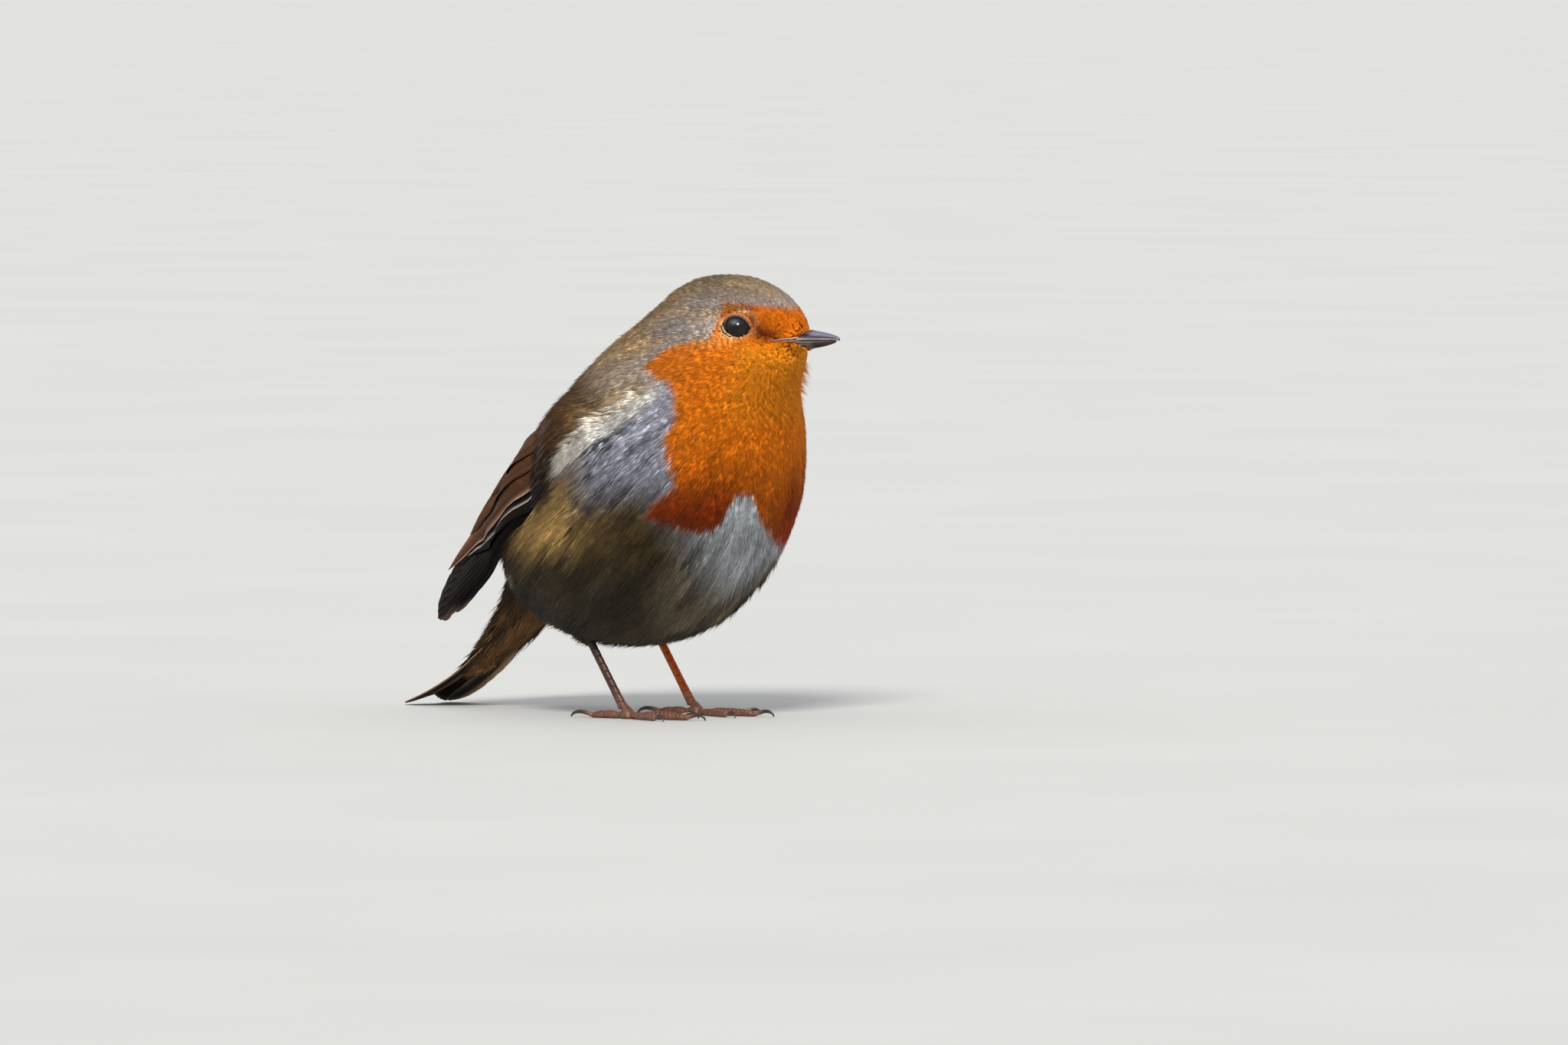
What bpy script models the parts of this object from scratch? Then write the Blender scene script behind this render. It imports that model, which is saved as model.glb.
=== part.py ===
"""European robin, life size, standing still on a level floor.

Run with: blender --background --python part.py
+X is the way the trunk faces, +Y is the bird's left and +Z is up. Sizes in this file are in
millimetres and are scaled to metres as each mesh is made. The bird is modelled round the point
between its feet, and at the end everything is moved so that the origin is the bottom centre of
its box.
"""

import math
from collections import namedtuple

import bmesh
import bpy
import numpy as np
from mathutils import Matrix, Vector
from mathutils.bvhtree import BVHTree

MM = 0.001
GAP = 0.35  # between two pieces that meet

# Trunk, neck and head: one smooth surface, given by rings from the rump to the bill.
# Each ring lies in the plane through its back point and its front point (x, z).
Ring = namedtuple("Ring", "back front half_width widest")
BODY_RINGS = [
    Ring((-38.4, 30.6), (-38.0, 29.2), 0.9, 0.50),
    Ring((-38.0, 36.2), (-34.6, 23.6), 9.5, 0.50),
    Ring((-35.8, 43.8), (-26.0, 17.6), 17.2, 0.50),
    Ring((-32.2, 51.4), (-13.0, 14.6), 22.6, 0.50),
    Ring((-28.0, 58.4), (1.5, 16.0), 25.6, 0.50),
    Ring((-23.2, 64.6), (13.4, 22.0), 26.8, 0.50),
    Ring((-17.8, 70.0), (23.2, 32.4), 26.6, 0.51),
    Ring((-12.2, 74.8), (28.8, 43.4), 25.0, 0.52),
    Ring((-6.8, 79.0), (31.2, 54.6), 21.9, 0.54),
    Ring((-1.4, 82.6), (32.0, 63.6), 17.8, 0.55),
    Ring((2.6, 85.8), (33.6, 69.6), 14.9, 0.55),
    Ring((5.8, 88.7), (35.2, 73.0), 13.1, 0.54),
    Ring((10.2, 91.0), (36.0, 75.2), 11.4, 0.52),
    Ring((16.2, 92.0), (35.4, 77.0), 8.8, 0.50),
    Ring((23.6, 91.7), (35.9, 77.6), 7.4, 0.48),
    Ring((29.8, 89.4), (36.2, 77.4), 6.0, 0.48),
    Ring((34.2, 86.5), (36.6, 77.3), 4.6, 0.48),
    Ring((36.8, 83.9), (36.9, 77.3), 3.2, 0.50),
    Ring((37.3, 82.5), (37.2, 77.5), 2.2, 0.50),
]
STEPS_PER_RING = 2
POINTS_ROUND = 32
TRUNK_END, NECK_END = 8.0, 11.0  # ring numbers where the neck and the head begin

HEAD_TURN = math.radians(5)  # to the bird's left
NECK_PIVOT = Vector((12, 0, 0))

EYE_RADIUS = 3.0
EYE_PLACE = Vector((28.1, 0, 82.2))  # where it shows, on either side
EYE_DEPTH = 1.7  # of its middle under the face

# Bill, along x before the head is turned. The two halves part along the gape line.
BILL_BASE_X, BILL_TIP_X = 32.0, 47.6
GAPE_Z = 78.9
UPPER_HEIGHT, LOWER_HEIGHT, BILL_HALF_WIDTH = 2.6, 2.3, 2.5
BILL_TIP_HEIGHT, BILL_TIP_HALF_WIDTH = 0.42, 0.28
LOWER_SHORTER = 0.9  # how far the lower half ends behind the upper one
BILL_RISE = 0.3  # of the gape line at the tip

# Tail: it leaves the rump steeply, then bends until its tip lies on the floor.
TAIL_ROOT = Vector((-31.0, 0, 37.45))
TAIL_LENGTH = 58.0
TAIL_BEND_START = 12.0
TAIL_PITCH_ROOT, TAIL_PITCH_TIP = math.radians(57), math.radians(16)
TAIL_WIDTH_ROOT, TAIL_WIDTH_TIP = 9.0, 18.0
TAIL_THICK_ROOT, TAIL_THICK_TIP = 2.6, 0.9
TAIL_ARCH = 1.2  # how far the middle stands above the edges
TAIL_NOTCH = 2.0  # how far the middle of the tip is shorter than its corners
TAIL_START = 18.0  # where its solid begins, inside the rump's cone
RUMP_START, RUMP_END = -8.0, 28.0  # of the cone, along the tail
RUMP_HALF_WIDTH_START, RUMP_HALF_WIDTH_END = 11.0, 5.4
RUMP_ABOVE_START, RUMP_ABOVE_END = 5.4, 2.0  # over the tail's middle line
RUMP_BELOW_START, RUMP_BELOW_END = 14.2, 2.2  # under it

# Folded wing, the left one: outline in side view, from the bend of the wing to its tip.
WING_BEND, WING_TIP = Vector((7.0, 0, 60.5)), Vector((-55.0, 0, 19.2))
WING_UPPER = [3.5, 13.0, 16.8, 17.2, 16.2, 14.1, 11.6, 9.2, 7.2, 5.0, 1.2]  # above the chord
WING_LOWER = [2.5, 6.5, 6.5, 4.8, 3.4, 2.8, 2.8, 3.2, 3.5, 2.8, 1.0]  # below the chord
WING_SIDE_LOWER = [19.0, 22.5, 24.5, 25.0, 24.5, 23.0, 21.0, 19.0, 17.0, 14.8, 12.6]
WING_SIDE_UPPER = [15.0, 13.0, 11.5, 10.5, 10.5, 11.0, 11.5, 12.0, 12.0, 12.2, 12.4]
WING_THICK = 2.4
WING_EDGE_THICK = 0.7
WING_SOFTNESS = 2.0  # of the wing's change from its own curve to the body's
COVERTS_SHARE = 0.36  # of the wing's length, from the bend
TERTIALS_SHARE = 0.74  # where the longest tertial ends
PRIMARIES_SHARE = 0.34  # of the wing's width, below the tertials
PRIMARIES_TIP_SHARE = 0.92  # the same, past the tertials
PLATE_GAP = 0.055  # between the tertials and the primaries, of the wing's width

# Legs and feet.
FOOT_SPREAD = 20.0  # between the two feet
FOOT_X = -0.9
FOOT_YAW = math.radians(18)  # both feet point a little left of the trunk
SHANK_LEAN = math.radians(54)  # of the shank from the floor, leaning back
SHANK_STATIONS = (3.1, 4.6, 8.0, 14.0, 19.0, 23.6)  # of its rings, up from the sole
SHANK_RADIUS = 0.72
PAD_RADIUS = 2.0
PAD_HEIGHT = 2.7
Toe = namedtuple("Toe", "name bearing length claw radius")
TOES = [
    Toe("hallux", 182, 8.6, 5.6, 0.85),
    Toe("inner", 30, 9.6, 4.0, 0.75),
    Toe("middle", 0, 13.6, 4.6, 0.80),
    Toe("outer", -30, 10.8, 4.0, 0.75),
]
TOE_START = 2.7  # from the middle of the pad
TOE_PARTING = 0.26  # half the share of the reach that a toe may fill, so that toes stay apart
THIGH_TOP, THIGH_END = 26.0, 18.8  # of the thigh's cuff of feathers, up from the sole
THIGH_RADIUS_TOP, THIGH_RADIUS_END = 3.7, 1.3

Finish = namedtuple("Finish", "colour roughness")
FINISHES = {
    "orange_plumage": Finish((0.78, 0.27, 0.04), 0.80),
    "brown_plumage": Finish((0.24, 0.19, 0.12), 0.80),
    "belly_plumage": Finish((0.50, 0.46, 0.40), 0.85),
    "flight_feather": Finish((0.10, 0.065, 0.04), 0.55),
    "horn": Finish((0.03, 0.027, 0.03), 0.28),
    "leg_scale": Finish((0.30, 0.13, 0.08), 0.45),
    "eye": Finish((0.006, 0.005, 0.005), 0.04),
}


def clear_scene():
    for old in list(bpy.data.objects):
        bpy.data.objects.remove(old, do_unlink=True)


def finish_of(slot):
    made = bpy.data.materials.get(slot)
    if made is None:
        made = bpy.data.materials.new(slot)
        made.use_nodes = True
        shader = made.node_tree.nodes["Principled BSDF"]
        shader.inputs["Base Color"].default_value = (*FINISHES[slot].colour, 1)
        shader.inputs["Roughness"].default_value = FINISHES[slot].roughness
        shader.inputs["Metallic"].default_value = 0
    return made


def new_object(name, points, faces, slot):
    """A closed object from points in millimetres, with its faces pointing out."""
    mesh = bpy.data.meshes.new(name)
    mesh.from_pydata([tuple(Vector(p) * MM) for p in points], [], faces)
    shape = bmesh.new()
    shape.from_mesh(mesh)
    bmesh.ops.recalc_face_normals(shape, faces=shape.faces)
    shape.to_mesh(mesh)
    shape.free()
    mesh.shade_smooth()
    mesh.set_sharp_from_angle(angle=math.radians(50))
    mesh.materials.append(finish_of(slot))
    made = bpy.data.objects.new(name, mesh)
    bpy.context.scene.collection.objects.link(made)
    return made


def loft(name, rings, slot):
    """A closed skin over rings of equally many points, with a flat cap at each end."""
    count = len(rings[0])
    points = [p for ring in rings for p in ring]
    faces = []
    for row in range(len(rings) - 1):
        for i in range(count):
            j = (i + 1) % count
            low, high = row * count, (row + 1) * count
            faces.append((low + i, low + j, high + j, high + i))
    faces.append(tuple(range(count)))
    faces.append(tuple(range((len(rings) - 1) * count, len(rings) * count)))
    return new_object(name, points, faces, slot)


def on_curve(values, position):
    """The value at a fractional place in a list of numbers or rows, on a smooth curve through them."""
    values = np.asarray(values, float)
    last = len(values) - 1
    i = min(int(position), last - 1)
    t = position - i
    before, start, end, after = (values[min(max(k, 0), last)] for k in range(i - 1, i + 3))
    leave, arrive = (end - before) / 2, (after - start) / 2
    return (
        start * (2 * t**3 - 3 * t**2 + 1)
        + leave * (t**3 - 2 * t**2 + t)
        + end * (3 * t**2 - 2 * t**3)
        + arrive * (t**3 - t**2)
    )


def eased(t):
    t = min(max(t, 0.0), 1.0)
    return t * t * (3 - 2 * t)


def turned(point, share=1.0):
    """A point of the head, moved by the share of the head's turn that reaches it."""
    turn = Matrix.Rotation(HEAD_TURN * share, 3, "Z")
    return NECK_PIVOT + turn @ (Vector(point) - NECK_PIVOT)


def hide_helper(helper):
    helper.hide_render = True
    helper.display_type = "WIRE"
    return helper


def cut(target, cutter):
    modifier = target.modifiers.new("cut_" + cutter.name, "BOOLEAN")
    modifier.operation = "DIFFERENCE"
    modifier.object = cutter
    modifier.solver = "EXACT"
    hide_helper(cutter)


# ---------------------------------------------------------------- trunk, neck and head


def body_ring(position, grow=0.0, shift=0.0):
    """One ring of the body, grown outwards and moved along the body, in millimetres."""
    rows = [(*r.back, *r.front, r.half_width, r.widest) for r in BODY_RINGS]
    back_x, back_z, front_x, front_z, half_width, widest = on_curve(rows, position)
    back, front = Vector((back_x, 0, back_z)), Vector((front_x, 0, front_z))
    centre = front.lerp(back, widest)
    up = (back - front).normalized()
    along = Vector((up.z, 0, -up.x))  # from the rump towards the bill
    rise = (back - centre).length + grow
    drop = (centre - front).length + grow
    share = eased((position - TRUNK_END) / (NECK_END + 1 - TRUNK_END))
    ring = []
    for i in range(POINTS_ROUND):
        angle = 2 * math.pi * i / POINTS_ROUND
        height = math.cos(angle) * (rise if math.cos(angle) > 0 else drop)
        side = Vector((0, math.sin(angle) * (half_width + grow), 0))
        ring.append(turned(centre + up * height + side + along * shift, share))
    return ring


def body_rings(start, end, grow=0.0, gap_at_start=0.0):
    steps = round((end - start) * STEPS_PER_RING)
    places = [start + (end - start) * i / steps for i in range(steps + 1)]
    first = body_ring(places[0], grow, gap_at_start)
    return [first] + [body_ring(place, grow) for place in places[1:]]


def make_body():
    last = len(BODY_RINGS) - 1
    trunk = loft("trunk", body_rings(0, TRUNK_END), "belly_plumage")
    neck = loft("neck", body_rings(TRUNK_END, NECK_END, 0, GAP), "orange_plumage")
    head = loft("head", body_rings(NECK_END, last, 0, GAP), "orange_plumage")
    return trunk, neck, head


def grown_body(grow):
    """The trunk and neck a little larger, to cut room for a neighbour."""
    return hide_helper(loft("grown_body", body_rings(0, NECK_END, grow), "belly_plumage"))


def surface_of(shape):
    """A search tree over an object's own mesh, in metres, with its normals pointing out."""
    mesh = bmesh.new()
    mesh.from_mesh(shape.data)
    tree = BVHTree.FromBMesh(mesh)
    mesh.free()
    return tree


# ---------------------------------------------------------------- eyes and bill


def ball(name, centre, radius, slot):
    mesh = bpy.data.meshes.new(name)
    shape = bmesh.new()
    place = Matrix.Translation(centre * MM)
    bmesh.ops.create_icosphere(shape, subdivisions=3, radius=radius * MM, matrix=place)
    shape.to_mesh(mesh)
    shape.free()
    mesh.shade_smooth()
    mesh.materials.append(finish_of(slot))
    made = bpy.data.objects.new(name, mesh)
    bpy.context.scene.collection.objects.link(made)
    return made


def make_eyes(head):
    face = surface_of(head)
    for side, name in ((1, "left"), (-1, "right")):
        outside = turned(EYE_PLACE + Vector((0, side * 30, 0)))
        inward = turned(EYE_PLACE) - outside
        place, normal, _, _ = face.ray_cast(outside * MM, inward.normalized())
        centre = place / MM - normal * EYE_DEPTH
        ball("eye_" + name, centre, EYE_RADIUS, "eye")
        cut(head, ball("socket_" + name, centre, EYE_RADIUS + GAP, "orange_plumage"))


def bill_rings(upper, grow=0.0):
    """Rings of one half of the bill: flat along the gape, arched away from it."""
    rings = []
    steps, points = 8, 8
    sign = 1 if upper else -1
    depth = UPPER_HEIGHT if upper else LOWER_HEIGHT
    length = BILL_TIP_X - BILL_BASE_X - (0 if upper else LOWER_SHORTER)
    for i in range(steps + 1):
        t = i / steps
        taper = (1 - t**1.6) ** 0.8
        half_width = BILL_TIP_HALF_WIDTH + (BILL_HALF_WIDTH - BILL_TIP_HALF_WIDTH) * taper + grow
        height = BILL_TIP_HEIGHT + (depth - BILL_TIP_HEIGHT) * taper + grow
        flat = GAPE_Z + BILL_RISE * t**2 + sign * (GAP / 2 - grow)
        x = BILL_BASE_X + length * t
        ring = []
        for k in range(points + 1):
            side = math.cos(math.pi * k / points)
            arch = max(0.0, 1 - abs(side) ** 1.7) ** 0.9
            ring.append(turned((x, side * half_width, flat + sign * (height + grow) * arch)))
        for side in (-0.5, 0.0, 0.5):
            ring.append(turned((x, side * half_width, flat)))
        rings.append(ring)
    return rings


def make_bill(head):
    loft("bill_upper", bill_rings(True), "horn")
    loft("bill_lower", bill_rings(False), "horn")
    for upper in (True, False):
        name = "bill_room_" + ("upper" if upper else "lower")
        cut(head, loft(name, bill_rings(upper, GAP), "horn"))


# ---------------------------------------------------------------- rump and tail


def tail_place(s):
    """(centre, pitch) of the tail's middle line, s millimetres from its root."""
    bend = (TAIL_PITCH_TIP - TAIL_PITCH_ROOT) / (TAIL_LENGTH - TAIL_BEND_START)
    straight = min(s, TAIL_BEND_START)
    down, back = math.sin(TAIL_PITCH_ROOT), math.cos(TAIL_PITCH_ROOT)
    pitch = TAIL_PITCH_ROOT + bend * (s - straight)
    run = back * straight + (math.sin(pitch) - down) / bend
    fall = down * straight + (back - math.cos(pitch)) / bend
    return TAIL_ROOT + Vector((-run, 0, -fall)), pitch


def tail_up(pitch):
    return Vector((-math.sin(pitch), 0, math.cos(pitch)))


def make_rump():
    """The cone of coverts over and under the root of the tail."""
    rings = []
    steps, points = 10, 20
    for i in range(steps + 1):
        t = i / steps
        centre, pitch = tail_place(RUMP_START + (RUMP_END - RUMP_START) * t)
        up = tail_up(pitch)
        half_width = RUMP_HALF_WIDTH_START * (1 - t) ** 0.8 + RUMP_HALF_WIDTH_END * t
        above = RUMP_ABOVE_END + (RUMP_ABOVE_START - RUMP_ABOVE_END) * (1 - t)
        below = RUMP_BELOW_END + (RUMP_BELOW_START - RUMP_BELOW_END) * (1 - t) ** 0.9
        ring = []
        for k in range(points):
            angle = 2 * math.pi * k / points
            height = math.cos(angle) * (above if math.cos(angle) > 0 else below)
            ring.append(centre + up * height + Vector((0, math.sin(angle) * half_width, 0)))
        rings.append(ring)
    return loft("rump", rings, "brown_plumage")


def tail_section(s, grow=0.0, resting=True):
    """A cross-section of the closed tail: an arched strip, thinnest at its edges."""
    t = max(s, 0.0) / TAIL_LENGTH
    half_width = (TAIL_WIDTH_ROOT + (TAIL_WIDTH_TIP - TAIL_WIDTH_ROOT) * t**0.8) / 2
    thick = TAIL_THICK_ROOT + (TAIL_THICK_TIP - TAIL_THICK_ROOT) * t
    ending = eased((t - 0.7) / 0.3)
    count = 8
    over, under = [], []
    for k in range(count + 1):
        share = 2 * k / count - 1
        notch = TAIL_NOTCH * (1 - abs(share)) * ending
        corner = 2.5 * max(0.0, abs(share) - 0.6) ** 1.5 * ending
        centre, pitch = tail_place(s - notch - corner)
        up = tail_up(pitch)
        middle = centre - up * TAIL_ARCH * (1 - 0.6 * t) * share * share
        middle.y = share * (half_width + grow)
        half = 0.3 + (thick - 0.6) * 0.5 * (1 - share * share) + grow
        over.append(middle + up * half)
        under.append(middle - up * half)
    if resting:
        under = [Vector((p.x, p.y, max(p.z, 0.0))) for p in under]
    return over + under[::-1]


def make_tail(rump, body_room):
    """The tail, and the room it and the trunk need in the rump."""
    steps = 11
    lengths = [TAIL_START + (TAIL_LENGTH - TAIL_START) * i / steps for i in range(steps + 1)]
    loft("tail", [tail_section(s) for s in lengths], "flight_feather")
    room = [tail_section(s, GAP, False) for s in [TAIL_START - GAP] + lengths[1:]]
    cut(rump, loft("tail_room", room, "flight_feather"))
    cut(rump, body_room)


# ---------------------------------------------------------------- wings


def wing_point(along, across, body):
    """A point of the left wing's middle surface: along from the bend (0) to the tip (1),
    across from the lower edge (0) to the upper one (1)."""
    last = len(WING_UPPER) - 1
    chord = WING_TIP - WING_BEND
    normal = Vector((chord.z, 0, -chord.x)).normalized()
    high = on_curve(WING_UPPER, along * last)
    low = on_curve(WING_LOWER, along * last)
    point = WING_BEND + chord * along + normal * (high * across - low * (1 - across))
    side_low = on_curve(WING_SIDE_LOWER, along * last)
    side_high = on_curve(WING_SIDE_UPPER, along * last)
    free = side_low + (side_high - side_low) * across**1.4
    far = Vector((point.x, 80, point.z))
    hit = body.ray_cast(far * MM, Vector((0, -1, 0)))[0]
    wall = hit.y / MM + GAP + WING_THICK / 2 if hit else 0.0
    both = math.exp(free / WING_SOFTNESS) + math.exp(wall / WING_SOFTNESS)
    point.y = WING_SOFTNESS * math.log(both)
    return point


def push_clear(point, tree, distance):
    """The point, moved out of a shape until it is that far from it."""
    near, normal, _, _ = tree.find_nearest(point * MM)
    away = point - near / MM
    apart = away.length if away.dot(normal) > 0 else -away.length
    return point if apart >= distance else near / MM + normal * distance


def wing_normal(along, across, body):
    step = 0.02
    ahead = wing_point(min(along + step, 1), across, body)
    behind = wing_point(max(along - step, 0), across, body)
    above = wing_point(along, min(across + step, 1), body)
    below = wing_point(along, max(across - step, 0), body)
    normal = (ahead - behind).cross(above - below).normalized()
    return normal if normal.y > 0 else -normal


def wing_plate(name, side, span, edges, grid, trees, slot="flight_feather", crowding=1.0):
    """One plate of the wing, thickest in its middle, clear of the body under it.
    Its rows stand closer together near its start where the crowding is over 1."""
    lengths, widths = grid
    outer, inner = [], []
    for i in range(lengths + 1):
        along = span[0] + (span[1] - span[0]) * (i / lengths) ** crowding
        low, high = edges(along)
        for k in range(widths + 1):
            across = low + (high - low) * k / widths
            normal = wing_normal(along, across, trees[0])
            base = wing_point(along, across, trees[0]) - normal * (WING_THICK / 2)
            for tree in trees:
                base = push_clear(base, tree, GAP)
            near_edge = min(i, lengths - i, k, widths - k)
            thick = WING_THICK - (WING_THICK - WING_EDGE_THICK) * 0.4**near_edge
            inner.append(base)
            outer.append(base + normal * thick)
    count = len(inner)
    row = widths + 1
    faces = []
    for i in range(lengths):
        for k in range(widths):
            a, b = i * row + k, i * row + k + 1
            faces.append((a, b, b + row, a + row))
            faces.append((count + a + row, count + b + row, count + b, count + a))
    border = list(range(row)) + [i * row + widths for i in range(1, lengths + 1)]
    border += [lengths * row + k for k in range(widths - 1, -1, -1)]
    border += [i * row for i in range(lengths - 1, 0, -1)]
    for a, b in zip(border, border[1:] + border[:1]):
        faces.append((b, a, count + a, count + b))
    mirror = Vector((1, side, 1))
    new_object(name, [p * mirror for p in outer + inner], faces, slot)


def make_wings(trees):
    after_coverts = COVERTS_SHARE + GAP / (WING_TIP - WING_BEND).length

    def full_width(_):
        return 0.0, 1.0

    def fold_line(along):
        """How far across the folded primaries show below the tertials."""
        widening = eased((along - TERTIALS_SHARE + 0.1) / 0.1)
        return PRIMARIES_SHARE + (PRIMARIES_TIP_SHARE - PRIMARIES_SHARE) * widening

    def primaries_edges(along):
        rest = eased((along - TERTIALS_SHARE) / 0.05)
        return 0.0, fold_line(along) + (1 - PRIMARIES_TIP_SHARE) * rest

    def tertials_edges(along):
        return fold_line(along) + PLATE_GAP, 1.0

    for side, name in ((1, "left"), (-1, "right")):
        wing = "wing_" + name
        coverts = (0.0, COVERTS_SHARE)
        grid = (8, 8)
        wing_plate(wing + "_coverts", side, coverts, full_width, grid, trees, "brown_plumage", 1.6)
        tertials = (after_coverts, TERTIALS_SHARE)
        wing_plate(wing + "_tertials", side, tertials, tertials_edges, (8, 5), trees)
        wing_plate(wing + "_primaries", side, (after_coverts, 1.0), primaries_edges, (14, 4), trees)


# ---------------------------------------------------------------- legs and feet


def foot_middle(side):
    return Vector((FOOT_X, side * FOOT_SPREAD / 2, 0))


def shank_axis():
    return Vector((-math.cos(SHANK_LEAN), 0, math.sin(SHANK_LEAN)))


def round_ring(centre, along, radius_x, radius_y, points):
    """A ring round a direction that lies near the x-z plane."""
    side = Vector((0, 1, 0))
    other = along.cross(side).normalized()
    ring = []
    for k in range(points):
        angle = 2 * math.pi * k / points
        point = centre + other * (math.cos(angle) * radius_x)
        ring.append(point + side * (math.sin(angle) * radius_y))
    return ring


def make_shank(name, side, grow=0.0):
    """Shank and pad of one foot: a slim leg that widens over a pad with a flat sole."""
    middle = foot_middle(side)
    up = shank_axis()
    points = 12
    rings = []
    pad_steps = 4
    for i in range(pad_steps):
        t = i / (pad_steps - 1)
        height = PAD_HEIGHT * (0.5 - 0.5 * math.cos(math.pi * t)) * 0.8
        swell = 0.72 + 0.28 * math.sin(math.pi * min(t * 1.2, 1.0))
        centre = middle + Vector((-0.25 * height, 0, height))
        radius = PAD_RADIUS * swell * (1 - 0.38 * t) + grow
        rings.append(round_ring(centre, Vector((0, 0, 1)), radius, radius * 0.92, points))
    for s in SHANK_STATIONS:
        flare = 1 + 0.9 * math.exp(-s / 2.6) + 0.25 * eased((s - 18) / 6)
        radius = SHANK_RADIUS * flare + grow
        rings.append(round_ring(middle + up * s, up, radius * 1.12, radius * 0.9, points))
    return loft(name, rings, "leg_scale")


def make_thigh(name, side):
    """The short feathered cuff where the leg leaves the belly."""
    up = shank_axis()
    rings = []
    steps = 5
    for i in range(steps + 1):
        t = i / steps
        centre = foot_middle(side) + up * (THIGH_TOP + (THIGH_END - THIGH_TOP) * t)
        radius = THIGH_RADIUS_END + (THIGH_RADIUS_TOP - THIGH_RADIUS_END) * (1 - t) ** 0.8
        rings.append(round_ring(centre, up, radius * 1.1, radius, 14))
    return loft(name, rings, "belly_plumage")


def toe_direction(side, bearing):
    yaw = FOOT_YAW + math.radians(bearing) * side
    return Vector((math.cos(yaw), math.sin(yaw), 0))


def make_toe(name, side, toe):
    """A toe with pads under its joints and a flat sole at floor level."""
    direction = toe_direction(side, toe.bearing)
    across = Vector((-direction.y, direction.x, 0))
    steps, points = 8, 8
    rings = []
    for i in range(steps + 1):
        t = i / steps
        reach = TOE_START + (toe.length - TOE_START) * t
        room = TOE_PARTING * reach - GAP / 2 if toe.name != "hallux" else toe.radius
        pads = 1 + 0.10 * math.cos(2 * math.pi * 3 * t)
        radius = min(room, toe.radius * (1 - 0.22 * t) * pads)
        radius *= 0.62 if i in (0, steps) else 1.0
        height = toe.radius * (0.86 - 0.2 * t) + 0.12 * math.sin(math.pi * t)
        centre = foot_middle(side) + direction * reach + Vector((0, 0, height))
        ring = []
        for k in range(points):
            angle = 2 * math.pi * (k + 0.5) / points
            point = centre + across * (math.cos(angle) * radius)
            point = point + Vector((0, 0, math.sin(angle) * radius * 1.1))
            if 0 < i < steps:
                point.z = max(point.z, 0.0)
            ring.append(point)
        rings.append(ring)
    return loft(name, rings, "leg_scale")


def make_claw(name, side, toe):
    """A claw that arches forward and down to the floor."""
    direction = toe_direction(side, toe.bearing)
    across = Vector((-direction.y, direction.x, 0))
    base = toe.length + GAP
    start_height = toe.radius * 0.72
    rings = []
    steps, points = 5, 6
    for i in range(steps + 1):
        t = i / steps
        reach = base + toe.claw * math.sin(t * math.pi / 2) * 0.92
        height = start_height + 0.75 * math.sin(math.pi * min(t * 1.15, 1.0)) - 0.42 * t
        radius = toe.radius * 0.62 * (1 - t) ** 0.8 + 0.12
        centre = foot_middle(side) + direction * reach + Vector((0, 0, height))
        lean = Vector((0, 0, 1)) + direction * (0.9 * t)
        lean.normalize()
        ring = []
        for k in range(points):
            angle = 2 * math.pi * k / points
            point = centre + across * (math.cos(angle) * radius * 0.7)
            point = point + lean * (math.sin(angle) * radius)
            point.z = max(point.z, 0.04)
            ring.append(point)
        rings.append(ring)
    return loft(name, rings, "horn")


def make_legs(trunk, body_room):
    for side, name in ((1, "left"), (-1, "right")):
        make_shank("shank_" + name, side)
        thigh = make_thigh("thigh_" + name, side)
        cut(thigh, body_room)
        room = make_shank("shank_room_" + name, side, GAP)
        for target in (trunk, thigh):
            cut(target, room)
        for toe in TOES:
            make_toe(f"toe_{name}_{toe.name}", side, toe)
            make_claw(f"claw_{name}_{toe.name}", side, toe)


# ---------------------------------------------------------------- assembly


def move_origin_to_bottom_centre():
    """Moves every object, cutters too, so that the origin is under the middle of the box."""
    bpy.context.view_layer.update()
    graph = bpy.context.evaluated_depsgraph_get()
    corners = []
    for shown in bpy.context.scene.objects:
        if not shown.hide_render:
            corners += [Vector(c) for c in shown.evaluated_get(graph).bound_box]
    low = [min(c[k] for c in corners) for k in range(3)]
    high = [max(c[k] for c in corners) for k in range(3)]
    shift = Vector((-(low[0] + high[0]) / 2, -(low[1] + high[1]) / 2, -low[2]))
    for thing in bpy.context.scene.objects:
        thing.location = shift


def main():
    clear_scene()
    trunk, _, head = make_body()
    make_eyes(head)
    make_bill(head)
    rump = make_rump()
    body_guide = hide_helper(loft("body_guide", body_rings(0, NECK_END), "belly_plumage"))
    body_room = grown_body(GAP)
    make_tail(rump, body_room)
    make_wings([surface_of(body_guide), surface_of(rump)])
    make_legs(trunk, body_room)
    move_origin_to_bottom_centre()


main()
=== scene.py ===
"""Looks of a European robin: skin, coat of feathers, flight feathers, bill, eyes and feet.

Places are in millimetres, measured from a point on the floor under the breast, until to_frame()
turns them into the frame's metres. +X is the way the trunk faces, +Y is the bird's left, +Z is up.
"""

import math
from collections import namedtuple

import bmesh
import bpy
import numpy as np
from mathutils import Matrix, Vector
from mathutils.bvhtree import BVHTree


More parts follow.
